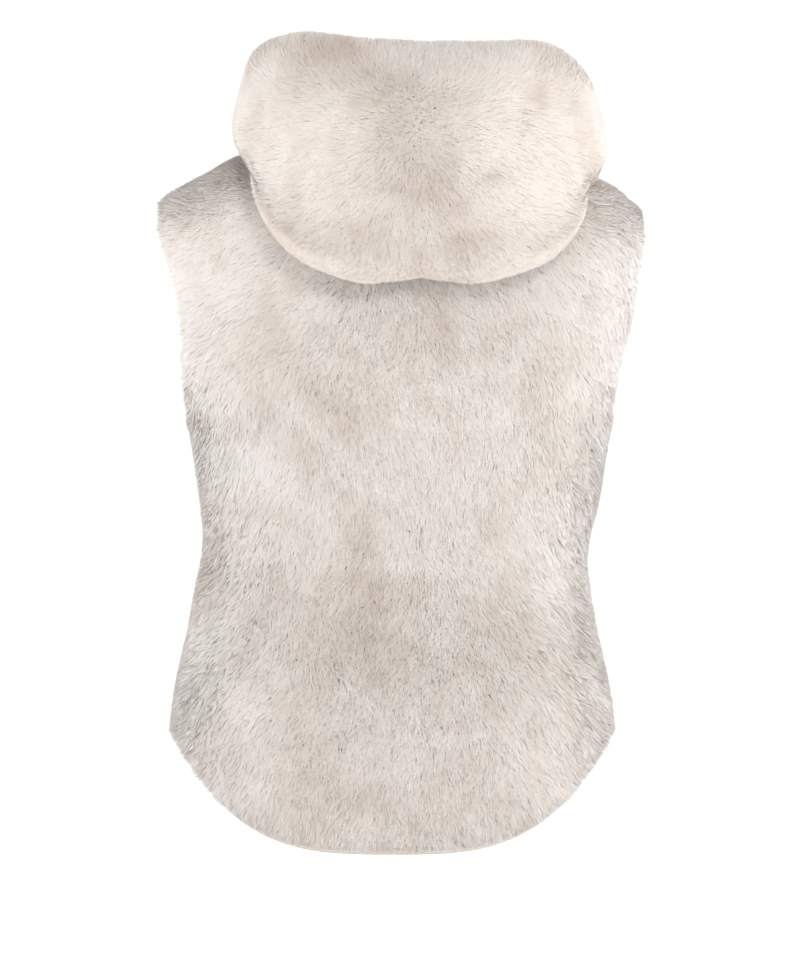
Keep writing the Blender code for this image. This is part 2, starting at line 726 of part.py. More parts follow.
def hood_walls(stations, hand):
    """Outer and inner points of half the hood, in rows from the neck seam to its edge."""
    neck_places = 2 * (len(BACK_NECK_STEPS) - 1)
    last = len(stations) - 1
    angles = [hood_angle(k, neck_places, last) for k in range(len(stations))]
    paths = []
    for k, station in enumerate(stations):
        outward = outward_from_neck(stations, k)
        paths.append(spline(hood_path(angles[k], station, outward), HOOD_ROWS_PER_SPAN))
    spans = len(HOOD_ROWS_PER_SPAN)
    marks = [0.0]
    for span, count in enumerate(HOOD_ROWS_PER_SPAN):
        marks += [span + step / count for step in range(1, count + 1)]
    outer = []
    inner = []
    for i, mark in enumerate(marks):
        outer_row = []
        inner_row = []
        for k, path in enumerate(paths):
            along = path[min(i + 1, len(path) - 1)] - path[max(i - 1, 0)]
            across = Vector((1 if k == 0 else -1, 0, 0))
            if 0 < k < last:
                across = paths[k + 1][i] - paths[k - 1][i]
            normal = along.cross(across).normalized()
            size = smooth_value(HOOD_FRONT, "angle", "size", angles[k])
            wall = hood_wall(mark, spans) * size
            point = path[i]
            fade = ease(FOLD_END, FOLD_END + 1, mark) * ease(spans, spans - 2, mark)
            rise = crease_height(HOOD_CREASES, point.x * hand, point.z)
            point = point + normal * rise * fade * ease(100, 60, angles[k])
            outer_row.append(point + normal * wall / 2)
            inner_row.append(point - normal * wall / 2)
        outer.append(outer_row)
        inner.append(inner_row)
    for k, (_, _, edge, under) in enumerate(stations):
        shift = paths[k][0] - (edge + under) / 2
        outer[0][k] = edge + shift
        inner[0][k] = under + shift
    for grid in (outer, inner):
        for row in grid:
            row[0].x = SEAM_GAP / 2
            row[-1].x = FRONT_GAP_TOP / 2
    return handed(outer, hand), handed(inner, hand)


def build_hood(name, hand, stations):
    outer, inner = hood_walls(stations, hand)
    last_row = len(outer) - 1
    last_column = len(outer[0]) - 1

    def rounded(i, j):
        if i == last_row:
            return free_edge(min(j, last_column - j))
        return 0.0

    make_solid(name, outer, inner, rounded)


def main():
    for thing in list(bpy.data.objects):
        bpy.data.objects.remove(thing, do_unlink=True)
    back_edge = build_back()
    front_edge = build_front("front_left", 1)
    build_front("front_right", -1)
    stations = hood_stations(back_edge, front_edge)
    build_hood("hood_left", 1, stations)
    build_hood("hood_right", -1, stations)


main()
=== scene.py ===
"""The looks of the hooded faux fur vest: its cloth, its pile and the studio it hangs in.

Units are metres and +Z is up. The wearer's front faces -Y and the camera stands behind it.
The form repeats the part's own: a wall of pile on its cloth, in grids of outer points,
where the hair ends, and inner points, where the lining lies. Each piece of cloth is a
closed sheet at the wall's inner side, and the hair stands between it and the outer points.
"""

import itertools
import math
from collections import namedtuple

import bmesh
import bpy
import numpy as np
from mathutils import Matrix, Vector

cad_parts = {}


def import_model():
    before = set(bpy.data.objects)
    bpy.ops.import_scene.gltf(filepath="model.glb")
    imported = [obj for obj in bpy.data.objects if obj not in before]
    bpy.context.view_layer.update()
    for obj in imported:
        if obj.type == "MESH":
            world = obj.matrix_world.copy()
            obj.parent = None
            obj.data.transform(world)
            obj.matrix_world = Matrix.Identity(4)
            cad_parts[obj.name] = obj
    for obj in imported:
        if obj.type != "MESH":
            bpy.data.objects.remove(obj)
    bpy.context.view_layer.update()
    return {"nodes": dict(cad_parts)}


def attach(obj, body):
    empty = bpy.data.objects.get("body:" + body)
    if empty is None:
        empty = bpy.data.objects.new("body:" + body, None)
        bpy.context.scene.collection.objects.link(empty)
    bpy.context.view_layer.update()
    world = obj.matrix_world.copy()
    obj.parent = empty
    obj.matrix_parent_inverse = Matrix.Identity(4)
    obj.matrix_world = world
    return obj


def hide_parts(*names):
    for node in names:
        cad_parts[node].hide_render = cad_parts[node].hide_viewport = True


# Walls
WALL = 0.014
NECK_WALL = 0.007
HOOD_UNDER_WALL = 0.008
HOOD_OUTER_WALL = 0.014
HOOD_RIM_WALL = 0.012
HOOD_LIP_WALL = 0.009
SEAM_GAP = 0.0003
NECK_TAPER = 0.030

# Shoulders, neckline and armholes, as shares of a section's half width
ROUNDNESS = 2.4
NECK_SHARE = 0.35
ARMHOLE_DEPTH = 0.42
TIP_SHARE = (1 - ARMHOLE_DEPTH**ROUNDNESS) ** (1 / ROUNDNESS)
TIP_HEIGHT = -0.047
UNDERARM = -0.235
ARMHOLE_WIDEST = 0.4
RIDGE_Y = 0.005
BACK_NECK_Y = 0.073
FRONT_NECK_Y = -0.1075
BACK_NECK_ROUNDNESS = 2.2
FRONT_NECK_ROUNDNESS = 2.8

# Hems and the front edges
SIDE_HEM = -0.509
BACK_HEM = -0.608
FRONT_HEM = -0.548
HEM_HALF_WIDTH = 0.195
HEM_SWEEP = 3.3
FRONT_GAP_TOP = 0.002
FRONT_GAP_HEM = 0.014
FRONT_CORNER = 0.030

# The outer size of the body at each height
Section = namedtuple("Section", "height half_width back front")
SECTIONS = [
    Section(0.040, 0.2255, 0.111, 0.090),
    Section(0.000, 0.2260, 0.118, 0.098),
    Section(-0.047, 0.2262, 0.126, 0.108),
    Section(-0.075, 0.2272, 0.131, 0.114),
    Section(-0.118, 0.2175, 0.136, 0.125),
    Section(-0.160, 0.2090, 0.139, 0.135),
    Section(-0.202, 0.2000, 0.140, 0.142),
    Section(-0.245, 0.1876, 0.134, 0.145),
    Section(-0.308, 0.1774, 0.122, 0.136),
    Section(-0.350, 0.1710, 0.116, 0.129),
    Section(-0.382, 0.1748, 0.118, 0.127),
    Section(-0.424, 0.1822, 0.127, 0.128),
    Section(-0.466, 0.1916, 0.138, 0.131),
    Section(-0.509, 0.1975, 0.145, 0.135),
    Section(-0.560, 0.1990, 0.147, 0.138),
    Section(-0.640, 0.2000, 0.145, 0.140),
]

# The shoulder ridge, and how deep the shoulder rolls off below it
Ridge = namedtuple("Ridge", "share height roll_back roll_front")
RIDGE = [
    Ridge(0.00, 0.0360, 0.090, 0.100),
    Ridge(0.35, 0.0155, 0.085, 0.092),
    Ridge(0.50, 0.0070, 0.078, 0.082),
    Ridge(0.65, -0.0050, 0.070, 0.072),
    Ridge(0.75, -0.0145, 0.064, 0.064),
    Ridge(0.83, -0.0245, 0.058, 0.058),
    Ridge(0.90, -0.0355, 0.053, 0.053),
    Ridge(0.95, -0.0475, 0.050, 0.050),
    Ridge(1.00, -0.0600, 0.048, 0.048),
]

# Columns of the body panels: turns round the neckline in degrees, from the centre
BACK_NECK_STEPS = [0, 18, 36, 54, 72, 90]
FRONT_NECK_STEPS = [0.5, 14, 28, 43, 58, 72, 82, 90]
SHOULDER_COLUMNS = 8
SPREAD_END = 0.35
ROLL_ROWS = [0.0, 0.004, 0.016, 0.036, 0.064, 0.10, 0.14, 0.18, 0.225, 0.27, 0.31]
UNDERARM_ROWS = [0.345, 0.372, 0.388, 0.398]
SIDE_ROWS = 13

# The hood at each turn round the neck, in degrees from the centre back to the shoulder.
# foot_share and foot_turn say where its under layer ends on the body: turn is 1 where the
# shoulder's roll ends. The outer layer's distances are from the neck's axis.
HoodRow = namedtuple(
    "HoodRow",
    "angle foot_share foot_turn fold bend bulge_r bulge_z upper_r upper_z rim_r rim_z",
)
HOOD = [
    HoodRow(0, 0.000, 1.290, 0.0240, 135, 0.198, -0.050, 0.193, 0.026, 0.165, 0.077),
    HoodRow(20, 0.220, 1.250, 0.0240, 135, 0.196, -0.050, 0.191, 0.026, 0.164, 0.078),
    HoodRow(40, 0.440, 1.020, 0.0215, 125, 0.189, -0.040, 0.182, 0.030, 0.158, 0.083),
    HoodRow(60, 0.545, 0.700, 0.0165, 95, 0.174, -0.009, 0.168, 0.035, 0.149, 0.079),
    HoodRow(78, 0.555, 0.260, 0.0125, 72, 0.160, 0.019, 0.156, 0.043, 0.140, 0.070),
    HoodRow(90, 0.545, 0.000, 0.0110, 66, 0.153, 0.025, 0.149, 0.043, 0.133, 0.062),
]
HOOD_NECK_ANGLE = 90
HOOD_END_ANGLE = 170

# The hood's size on the front, as a share of its size at the shoulder
FrontRow = namedtuple("FrontRow", "angle size")
HOOD_FRONT = [
    FrontRow(90, 1.00),
    FrontRow(108, 0.88),
    FrontRow(126, 0.70),
    FrontRow(146, 0.50),
    FrontRow(170, 0.34),
]
RIM_TURN = 0.008
LIP_DROP = 0.022
FOOT = 9
FOLD_END = 12
RIM = 16
HOOD_ROWS_PER_SPAN = [1, 1, 1, 1, 1, 1, 1, 1, 1, 1, 1, 1, 2, 3, 2, 1, 1, 1]

# The roll of the hood at the neck: reach out over the body, and height over its fur
Roll = namedtuple("Roll", "reach lift")
NECK_ROLL = [
    Roll(-0.0040, 0.0002),
    Roll(-0.0060, 0.0070),
    Roll(-0.0020, 0.0140),
    Roll(0.0070, 0.0170),
    Roll(0.0170, 0.0135),
    Roll(0.0270, 0.0090),
]

# Soft creases: a line from start to end on the panel, its half width and its height
Crease = namedtuple("Crease", "x_start z_start x_end z_end spread rise")
BACK_CREASES = [
    Crease(0.118, -0.205, 0.020, -0.300, 0.013, 0.0035),
    Crease(0.110, -0.178, 0.020, -0.270, 0.016, -0.0035),
    Crease(0.140, -0.352, 0.090, -0.349, 0.010, 0.0030),
    Crease(0.030, -0.362, -0.090, -0.358, 0.011, 0.0025),
    Crease(-0.140, -0.330, -0.085, -0.350, 0.011, 0.0025),
    Crease(0.035, -0.330, -0.080, -0.332, 0.014, -0.0025),
    Crease(0.028, -0.402, 0.020, -0.425, 0.009, -0.0020),
    Crease(0.060, -0.100, 0.100, -0.300, 0.020, -0.0025),
]
FRONT_CREASES = [
    Crease(0.150, -0.215, 0.070, -0.260, 0.014, 0.0030),
    Crease(0.150, -0.335, 0.080, -0.352, 0.012, 0.0030),
    Crease(0.140, -0.362, 0.070, -0.374, 0.012, -0.0025),
    Crease(0.060, -0.410, 0.050, -0.500, 0.018, -0.0025),
]
HOOD_CREASES = [
    Crease(0.075, -0.085, 0.020, -0.060, 0.011, -0.0030),
    Crease(-0.060, -0.090, -0.030, -0.055, 0.011, -0.0030),
    Crease(0.100, 0.062, 0.030, 0.052, 0.012, -0.0040),
    Crease(-0.100, 0.040, -0.080, 0.020, 0.012, -0.0025),
    Crease(0.020, -0.040, -0.045, -0.050, 0.013, 0.0030),
    Crease(-0.060, 0.010, -0.110, -0.030, 0.014, 0.0025),
]

# How the garment leans from true: the hips to the left, and the hood to the right. The left
# shoulder stands a little higher beside the hood, and the right one is lower.
HIP_SWAY = 0.005
UPPER_SWAY = -0.0015
HOOD_SWAY = -0.018
HOOD_SHEAR = 0.003
HOOD_TILT = 0.006
HIGH_SHOULDER = 0.005
LOW_SHOULDER = 0.015
LOW_SHOULDER_END = 0.008


def ease(low, high, value):
    """0 below low, 1 above high and a smooth step between them."""
    share = min(max((value - low) / (high - low), 0.0), 1.0)
    return share * share * (3 - 2 * share)


def smooth_value(rows, key, column, value):
    """Reads a column of a table at a value of its key column, with a smooth curve."""
    keys = [getattr(row, key) for row in rows]
    heights = [getattr(row, column) for row in rows]
    if keys[0] > keys[-1]:
        keys.reverse()
        heights.reverse()
    value = min(max(value, keys[0]), keys[-1])
    span = 0
    while span < len(keys) - 2 and value > keys[span + 1]:
        span += 1
    slopes = []
    for place in (span, span + 1):
        before = max(place - 1, 0)
        after = min(place + 1, len(keys) - 1)
        slopes.append((heights[after] - heights[before]) / (keys[after] - keys[before]))
    width = keys[span + 1] - keys[span]
    t = (value - keys[span]) / width
    start = heights[span] * (1 + 2 * t) * (1 - t) ** 2
    end = heights[span + 1] * t * t * (3 - 2 * t)
    return start + end + width * t * (1 - t) * (slopes[0] * (1 - t) - slopes[1] * t)


def crease_height(creases, x, z):
    """The rise of all the creases at a place on a panel."""
    total = 0.0
    for crease in creases:
        run = complex(crease.x_end - crease.x_start, crease.z_end - crease.z_start)
        place = complex(x - crease.x_start, z - crease.z_start) * run.conjugate() / abs(run)
        past_end = max(-place.real, place.real - abs(run), 0.0)
        total += crease.rise * math.exp(-(place.imag**2 + past_end**2) / crease.spread**2)
    return total


def ridge_height(share):
    return smooth_value(RIDGE, "share", "height", abs(share))


def roll_depth(share, side):
    column = "roll_back" if side > 0 else "roll_front"
    return smooth_value(RIDGE, "share", column, abs(share))


def body_point(share, drop, side):
    """The outer face of the body, a drop below the ridge, at a share of its half width.

    side is 1 on the back and -1 on the front.
    """
    height = ridge_height(share) - drop
    half_width = smooth_value(SECTIONS, "height", "half_width", height)
    depth = smooth_value(SECTIONS, "height", "back" if side > 0 else "front", height)
    flat = max(1 - abs(share) ** ROUNDNESS, 0.0) ** (1 / ROUNDNESS)
    rolled = min(drop / roll_depth(share, side), 1.0)
    rolled = math.sqrt(1 - (1 - rolled) ** 2)
    y = RIDGE_Y + (side * depth - RIDGE_Y) * flat * rolled
    return Vector((half_width * share, y, height))


def turned_point(share, turn):
    """The outer face of the body by its turn over the shoulder: 0 on the ridge, 1 where
    the roll ends, and below zero on the front."""
    side = 1 if turn >= 0 else -1
    depth = roll_depth(share, side)
    angle = abs(turn) * math.pi / 2
    if abs(turn) < 1:
        drop = depth * (1 - math.cos(angle))
    else:
        drop = depth * (1 + angle - math.pi / 2)
    return body_point(share, drop, side)


def turn_of(share, drop, side):
    """The turn over the shoulder that belongs to a drop below the ridge."""
    depth = roll_depth(share, side)
    if drop < depth:
        angle = math.acos(1 - drop / depth)
    else:
        angle = math.pi / 2 + drop / depth - 1
    return side * angle / (math.pi / 2)


def body_slopes(share, turn):
    """How the body's outer face runs across and over the shoulder at a place on it."""
    step = 0.01
    across = turned_point(share + step, turn) - turned_point(share - step, turn)
    over = turned_point(share, turn + step) - turned_point(share, turn - step)
    return across / (2 * step), over / (2 * step)


def body_normal(share, turn):
    """The body's outward direction at a place on it."""
    across, over = body_slopes(share, turn)
    return across.cross(over).normalized()


def neck_place(degrees, side):
    """The neckline's share and drop, at a turn of 0 (centre) to 90 (shoulder)."""
    roundness = BACK_NECK_ROUNDNESS if side > 0 else FRONT_NECK_ROUNDNESS
    centre = BACK_NECK_Y if side > 0 else FRONT_NECK_Y
    angle = math.radians(degrees)
    share = NECK_SHARE * math.sin(angle) ** (2 / roundness)
    reach = abs(centre - RIDGE_Y) * max(math.cos(angle), 0.0) ** (2 / roundness)
    roll = roll_depth(share, side)
    drop = roll / 2
    for _ in range(12):
        rolled = math.sqrt(1 - (1 - drop / roll) ** 2)
        depth = abs(body_point(share, drop, side).y - RIDGE_Y) / rolled
        angle_over = math.asin(min(reach / depth, 0.999))
        drop = max(roll * (1 - math.cos(angle_over)), 1e-6)
    return share, drop if reach > 1e-6 else 0.0


def share_to_turn(share):
    return math.asin(min(abs(share) ** (ROUNDNESS / 2), 1.0))


def turn_to_share(angle):
    return math.sin(angle) ** (2 / ROUNDNESS)


def edge_angle(height):
    """Where the armhole's edge or the side seam cuts the section at a height."""
    level = (TIP_HEIGHT - height) / (TIP_HEIGHT - UNDERARM)
    if level >= 1:
        return math.pi / 2
    narrowing = max(level - ARMHOLE_WIDEST, 0.0) / (1 - ARMHOLE_WIDEST)
    depth = ARMHOLE_DEPTH * math.sqrt(1 - narrowing**2)
    return math.acos(depth ** (ROUNDNESS / 2))


def row_levels():
    """Shares of the drop from shoulder to hem, with one row just at the underarm."""
    underarm = (TIP_HEIGHT - UNDERARM) / (TIP_HEIGHT - SIDE_HEM)
    levels = ROLL_ROWS + UNDERARM_ROWS
    for row in range(SIDE_ROWS + 1):
        levels.append(underarm + (1 - underarm) * row / SIDE_ROWS)
    return levels, len(ROLL_ROWS) + len(UNDERARM_ROWS)


def back_hem(share):
    return BACK_HEM + (SIDE_HEM - BACK_HEM) * abs(share) ** HEM_SWEEP


def front_hem(share):
    """The front's hem, which runs level and turns up in a round corner at the opening."""
    low = FRONT_HEM + (SIDE_HEM - FRONT_HEM) * abs(share) ** HEM_SWEEP
    x = abs(share) * HEM_HALF_WIDTH
    rounding = max(1 - x / (2 * FRONT_CORNER), 0.0)
    return low + FRONT_CORNER * rounding**2


def top_shares(side):
    """The columns at the panel's top, as (share, drop), from the centre to the tip."""
    steps = BACK_NECK_STEPS if side > 0 else FRONT_NECK_STEPS
    columns = [neck_place(step, side) for step in steps]
    start = share_to_turn(NECK_SHARE)
    end = share_to_turn(TIP_SHARE)
    for column in range(1, SHOULDER_COLUMNS + 1):
        angle = start + (end - start) * column / SHOULDER_COLUMNS
        columns.append((turn_to_share(angle), 0.0))
    return columns


def half_panel(side):
    """Outer points of a panel's left half, in rows from the shoulder to the hem.

    Each point's outward direction comes with it, and so do the places of the seams.
    """
    hem = back_hem if side > 0 else front_hem
    tip = share_to_turn(TIP_SHARE)
    levels, underarm_row = row_levels()
    columns = top_shares(side)
    grid = []
    normals = []
    for level in levels:
        edge_level = TIP_HEIGHT - (TIP_HEIGHT - SIDE_HEM) * level
        spread = 1 - (1 - min(level / SPREAD_END, 1.0)) ** 2
        row = []
        directions = []
        for j, (top_share, top_drop) in enumerate(columns):
            column_share = share_to_turn(top_share) / tip
            column_share += (j / (len(columns) - 1) - column_share) * spread
            hem_share = turn_to_share(j / (len(columns) - 1) * math.pi / 2)
            lowest = ridge_height(top_share) - hem(hem_share)
            drop = top_drop + (lowest - top_drop) * level
            share = turn_to_share(column_share * edge_angle(edge_level))
            drop = max(drop + ridge_height(share) - ridge_height(top_share), 0.0)
            row.append(body_point(share, drop, side))
            directions.append(body_normal(share, turn_of(share, drop, side)))
        grid.append(row)
        normals.append(directions)
    last_row = len(levels) - 1
    last = len(columns) - 1
    neck_end = last - SHOULDER_COLUMNS
    seams = {}
    for column in range(neck_end, last + 1):
        seams[(0, column)] = (0, max(column - 1, neck_end)), (0, min(column + 1, last))
    for row in range(underarm_row, len(levels)):
        before = (max(row - 1, underarm_row), last)
        seams[(row, last)] = before, (min(row + 1, last_row), last)
    for (i, j), ((ai, aj), (bi, bj)) in seams.items():
        along = grid[bi][bj] - grid[ai][aj]
        normals[i][j] = Vector((-along.z, 0.0, along.x)).normalized()
    return grid, normals, seams, underarm_row


def panel_walls(side, hand):
    """Outer and inner points of half a panel: hand is 1 on the left and -1 on the right."""
    creases = BACK_CREASES if side > 0 else FRONT_CREASES
    grid, normals, seams, underarm_row = half_panel(side)
    last_row = len(grid) - 1
    last = len(grid[0]) - 1
    neckline = grid[0][: last - SHOULDER_COLUMNS + 1]
    outer = []
    inner = []
    for i, row in enumerate(grid):
        outer_row = []
        inner_row = []
        for j, point in enumerate(row):
            near_neck = min((point - other).length for other in neckline)
            thick = NECK_WALL + (WALL - NECK_WALL) * ease(0.0, NECK_TAPER, near_neck)
            inside = ease(0, 3, i) * ease(0, 2, last - j) * ease(0, 2, last_row - i)
            rise = inside * crease_height(creases, point.x * hand, point.z)
            face = point + normals[i][j] * rise
            back = face - normals[i][j] * thick
            if (i, j) in seams:
                shift = Vector((0, side * SEAM_GAP / 2, 0))
                face += shift
                back += shift
            if j == 0 and side < 0:
                down = ease(-0.06, FRONT_HEM, point.z)
                face.x = (FRONT_GAP_TOP + (FRONT_GAP_HEM - FRONT_GAP_TOP) * down) / 2
                back.x = face.x
            outer_row.append(face)
            inner_row.append(back)
        outer.append(outer_row)
        inner.append(inner_row)
    return handed(outer, hand), handed(inner, hand), underarm_row


def lean(point):
    """Moves a point of the true garment to where this one hangs."""
    x, y, z = point
    hips = UPPER_SWAY + (HIP_SWAY - UPPER_SWAY) * ease(0.30, 0.39, -z)
    high = ease(-0.21, -0.12, z) * ease(-0.11, 0.03, y)
    hood = HOOD_SWAY * high * (1 - ease(0.165, 0.222, abs(x)))
    shear = HOOD_SHEAR * ease(0.09, 0.14, x) * ease(-0.035, 0.0, -z) * high
    level = ease(-0.20, -0.06, z)
    raised = HIGH_SHOULDER * ease(0.12, 0.155, x) * (1 - ease(0.165, 0.19, x)) * level
    lowered = LOW_SHOULDER * ease(0.06, 0.165, -x) - LOW_SHOULDER_END * ease(0.19, 0.215, -x)
    lowered *= level * (1 - 0.6 * ease(0.005, 0.05, z))
    sides = min(max(x / 0.09, 0.0), 1.0) - ease(0.105, 0.150, -x)
    tilt = HOOD_TILT * sides * ease(0.02, 0.07, z)
    return Vector((x + hips + hood + shear, y, z + raised - lowered + tilt))


def handed(grid, hand):
    return [[Vector((point.x * hand, point.y, point.z)) for point in row] for row in grid]


def spline(points, counts):
    """A smooth curve through points, with a count of steps for each span."""
    ends = [points[0] * 2 - points[1]] + list(points) + [points[-1] * 2 - points[-2]]
    curve = [points[0].copy()]
    for span, count in enumerate(counts):
        four = ends[span : span + 4]
        knots = [0.0]
        for start, end in zip(four, four[1:]):
            knots.append(knots[-1] + max((end - start).length, 0.0005) ** 0.5)
        for step in range(1, count + 1):
            t = knots[1] + (knots[2] - knots[1]) * step / count
            level = four
            for starts, width in (((0, 1, 2), 1), ((0, 1), 2), ((1,), 1)):
                shares = [(t - knots[k]) / (knots[k + width] - knots[k]) for k in starts]
                level = [level[k].lerp(level[k + 1], share) for k, share in enumerate(shares)]
            curve.append(level[0])
    return curve


def hood_stations(back_edge, front_edge):
    """Places along the neckline, from the centre back to the opening.

    Each has its share and turn on the body, and the body's outer and inner edge there.
    """
    stations = []
    runs = ((1, back_edge, BACK_NECK_STEPS), (-1, front_edge, FRONT_NECK_STEPS))
    for side, (outer, inner), steps in runs:
        order = list(range(len(steps)))[::side]
        for place, column in enumerate(order):
            last = place == len(order) - 1
            following = order[min(place + 1, len(order) - 1)]
            parts = 0 if last and side > 0 else 2 if side > 0 else 1
            for part in range(parts):
                t = part / parts
                share, drop = neck_place(steps[column] * (1 - t) + steps[following] * t, side)
                edge = outer[column].lerp(outer[following], t)
                under = inner[column].lerp(inner[following], t)
                stations.append((share, turn_of(share, drop, side), edge, under))
    return stations


def outward_from_neck(stations, k):
    """The direction over the body, square to the neckline, at a station."""
    if k in (0, len(stations) - 1):
        along = Vector((1 if k == 0 else -1, 0, 0))
    else:
        along = stations[k + 1][2] - stations[k - 1][2]
    edge, under = stations[k][2:]
    return (edge - under).cross(along).normalized()


def hood_path(angle, station, outward):
    """The middle of the hood's wall, from the neck seam to its turned edge."""
    share, turn, edge, under = station
    at = min(angle, HOOD_NECK_ANGLE)
    row = {column: smooth_value(HOOD, "angle", column, at) for column in HoodRow._fields}
    seam_normal = (edge - under).normalized()
    size = 1.0
    if angle > HOOD_NECK_ANGLE:
        size = smooth_value(HOOD_FRONT, "angle", "size", angle)
    if angle <= HOOD_NECK_ANGLE:
        foot = Vector((row["foot_share"], row["foot_turn"]))
    else:
        foot = front_foot(share, turn, outward, size)
    start = Vector((share, turn))
    reach = (turned_point(*foot) - edge).length

    def over_body(distance, lift):
        """A point at a distance out from the neckline and a height over the body."""
        place = start.lerp(foot, max(distance, 0.0) / reach)
        bent = turned_point(*place) + body_normal(*place) * lift
        straight = edge + outward * distance + seam_normal * lift
        return straight.lerp(bent, ease(0.002, 0.030 * size, distance))

    path = [(edge + under) / 2 - outward * SEAM_GAP]
    for roll in NECK_ROLL:
        path.append(over_body(roll.reach * size, roll.lift * size))
    clear = 0.002 + HOOD_UNDER_WALL * size / 2
    roll_end = NECK_ROLL[-1].reach * size
    for t in (0.3, 0.65, 1.0):
        path.append(over_body(roll_end + (reach - roll_end) * t, clear + 0.001 * t))
    normal = body_normal(*foot)
    tangent = path[-1] - path[-2]
    tangent = (tangent - normal * tangent.dot(normal)).normalized()
    fold = row["fold"] * size
    for step in (0.37, 0.7, 1.0):
        bend = math.radians(row["bend"] * step)
        out = tangent * fold * math.sin(bend)
        path.append(path[FOOT] + out + normal * fold * (1 - math.cos(bend)))
    heading = math.radians(angle)
    away = Vector((math.sin(heading), math.cos(heading), 0))
    up = Vector((0, 0, 1))
    centre = Vector((0, 0, 0))
    if angle > HOOD_NECK_ANGLE:
        away, up, centre = front_frame(edge, outward, seam_normal, normal, size)
    outer_layer = [
        (row["bulge_r"], row["bulge_z"]),
        (row["upper_r"], row["upper_z"]),
        (row["rim_r"] + RIM_TURN, row["rim_z"] - RIM_TURN),
        (row["rim_r"], row["rim_z"]),
        (row["rim_r"] - RIM_TURN, row["rim_z"] - RIM_TURN),
        (row["rim_r"] - RIM_TURN * 1.2, row["rim_z"] - LIP_DROP),
    ]
    for distance, height in outer_layer:
        path.append(centre + away * distance + up * height)
    return path


def front_foot(share, turn, outward, size):
    """Where the under layer ends on the front, as a share and a turn."""
    across, over = body_slopes(share, turn)
    full = HOOD[-1].foot_share - NECK_SHARE
    reach = full * SECTIONS[0].half_width * size
    normal = across.cross(over)
    by_share = outward.dot(over.cross(normal)) / across.dot(over.cross(normal))
    by_turn = outward.dot(across.cross(normal)) / over.dot(across.cross(normal))
    return Vector((share + by_share * reach, turn + by_turn * reach))


def front_frame(edge, outward, seam_normal, foot_normal, size):
    """Axes and centre that carry the shoulder's section, made smaller, to the front."""
    shoulder = Vector((NECK_SHARE * SECTIONS[0].half_width, RIDGE[1].height))
    step = HOOD[-1].foot_share - NECK_SHARE
    drop = ridge_height(NECK_SHARE) - ridge_height(NECK_SHARE + step)
    slope = math.atan2(drop, step * SECTIONS[0].half_width)
    lifted = (seam_normal + foot_normal).normalized()
    flat = (outward - lifted * outward.dot(lifted)).normalized()
    away = (flat * math.cos(slope) + lifted * math.sin(slope)) * size
    up = (lifted * math.cos(slope) - flat * math.sin(slope)) * size
    centre = edge - away * shoulder.x - up * shoulder.y
    return away, up, centre


def hood_wall(mark, spans):
    """The hood's thickness along its path, thinner where it is pressed or turned."""
    marks = [0, 3, FOOT, FOLD_END, RIM - 2, RIM, spans]
    pressed = [NECK_WALL, HOOD_UNDER_WALL, HOOD_UNDER_WALL]
    turned = [HOOD_OUTER_WALL, HOOD_OUTER_WALL, HOOD_RIM_WALL, HOOD_LIP_WALL]
    return float(np.interp(mark, marks, pressed + turned))


def path_marks():
    """The place of each row of the hood along its path, counted in spans."""
    marks = [0.0]
    for span, count in enumerate(HOOD_ROWS_PER_SPAN):
        marks += [span + step / count for step in range(1, count + 1)]
    return marks


def hood_angle(k, neck_places, last):
    """The turn round the neck at a station."""
    if k <= neck_places:
        return HOOD_NECK_ANGLE * k / neck_places
    t = (k - neck_places) / (last - neck_places)
    return HOOD_NECK_ANGLE + (HOOD_END_ANGLE - HOOD_NECK_ANGLE) * t


def hood_walls(stations, hand):
    """Outer and inner points of half the hood, in rows from the neck seam to its edge."""
    neck_places = 2 * (len(BACK_NECK_STEPS) - 1)
    last = len(stations) - 1
    angles = [hood_angle(k, neck_places, last) for k in range(len(stations))]
    paths = []
    for k, station in enumerate(stations):
        outward = outward_from_neck(stations, k)
        paths.append(spline(hood_path(angles[k], station, outward), HOOD_ROWS_PER_SPAN))
    spans = len(HOOD_ROWS_PER_SPAN)
    outer = []
    inner = []
    for i, mark in enumerate(path_marks()):
        outer_row = []
        inner_row = []
        for k, path in enumerate(paths):
            along = path[min(i + 1, len(path) - 1)] - path[max(i - 1, 0)]
            across = Vector((1 if k == 0 else -1, 0, 0))
            if 0 < k < last:
                across = paths[k + 1][i] - paths[k - 1][i]
            normal = along.cross(across).normalized()
            size = smooth_value(HOOD_FRONT, "angle", "size", angles[k])
            wall = hood_wall(mark, spans) * size
            point = path[i]
            fade = ease(FOLD_END, FOLD_END + 1, mark) * ease(spans, spans - 2, mark)
            rise = crease_height(HOOD_CREASES, point.x * hand, point.z)
            point = point + normal * rise * fade * ease(100, 60, angles[k])
            outer_row.append(point + normal * wall / 2)
            inner_row.append(point - normal * wall / 2)
        outer.append(outer_row)
        inner.append(inner_row)
    for k, (_, _, edge, under) in enumerate(stations):
        shift = paths[k][0] - (edge + under) / 2
        outer[0][k] = edge + shift
        inner[0][k] = under + shift
    for grid in (outer, inner):
        for row in grid:
            row[0].x = SEAM_GAP / 2
            row[-1].x = FRONT_GAP_TOP / 2
    return handed(outer, hand), handed(inner, hand)


# The cloth, and how far the pile and the cloth end before the solid's free edges
CLOTH = 0.0025
CLOTH_STRIDE = 2
FINER = 4
EDGE_PULL = 0.004
HEM_PILE_PULL = 0.003
HEM_CLOTH_PULL = -0.0016

# The cloth's map: how much of it each side takes, and where the second side starts
HALF_MAP = 0.48
SECOND_MAP = 0.51

# How far a hair's tip may reach past a free edge and past a seam
EDGE_REACH = 0.0025
SEAM_REACH = 0.0100
WALK_STEPS = 4

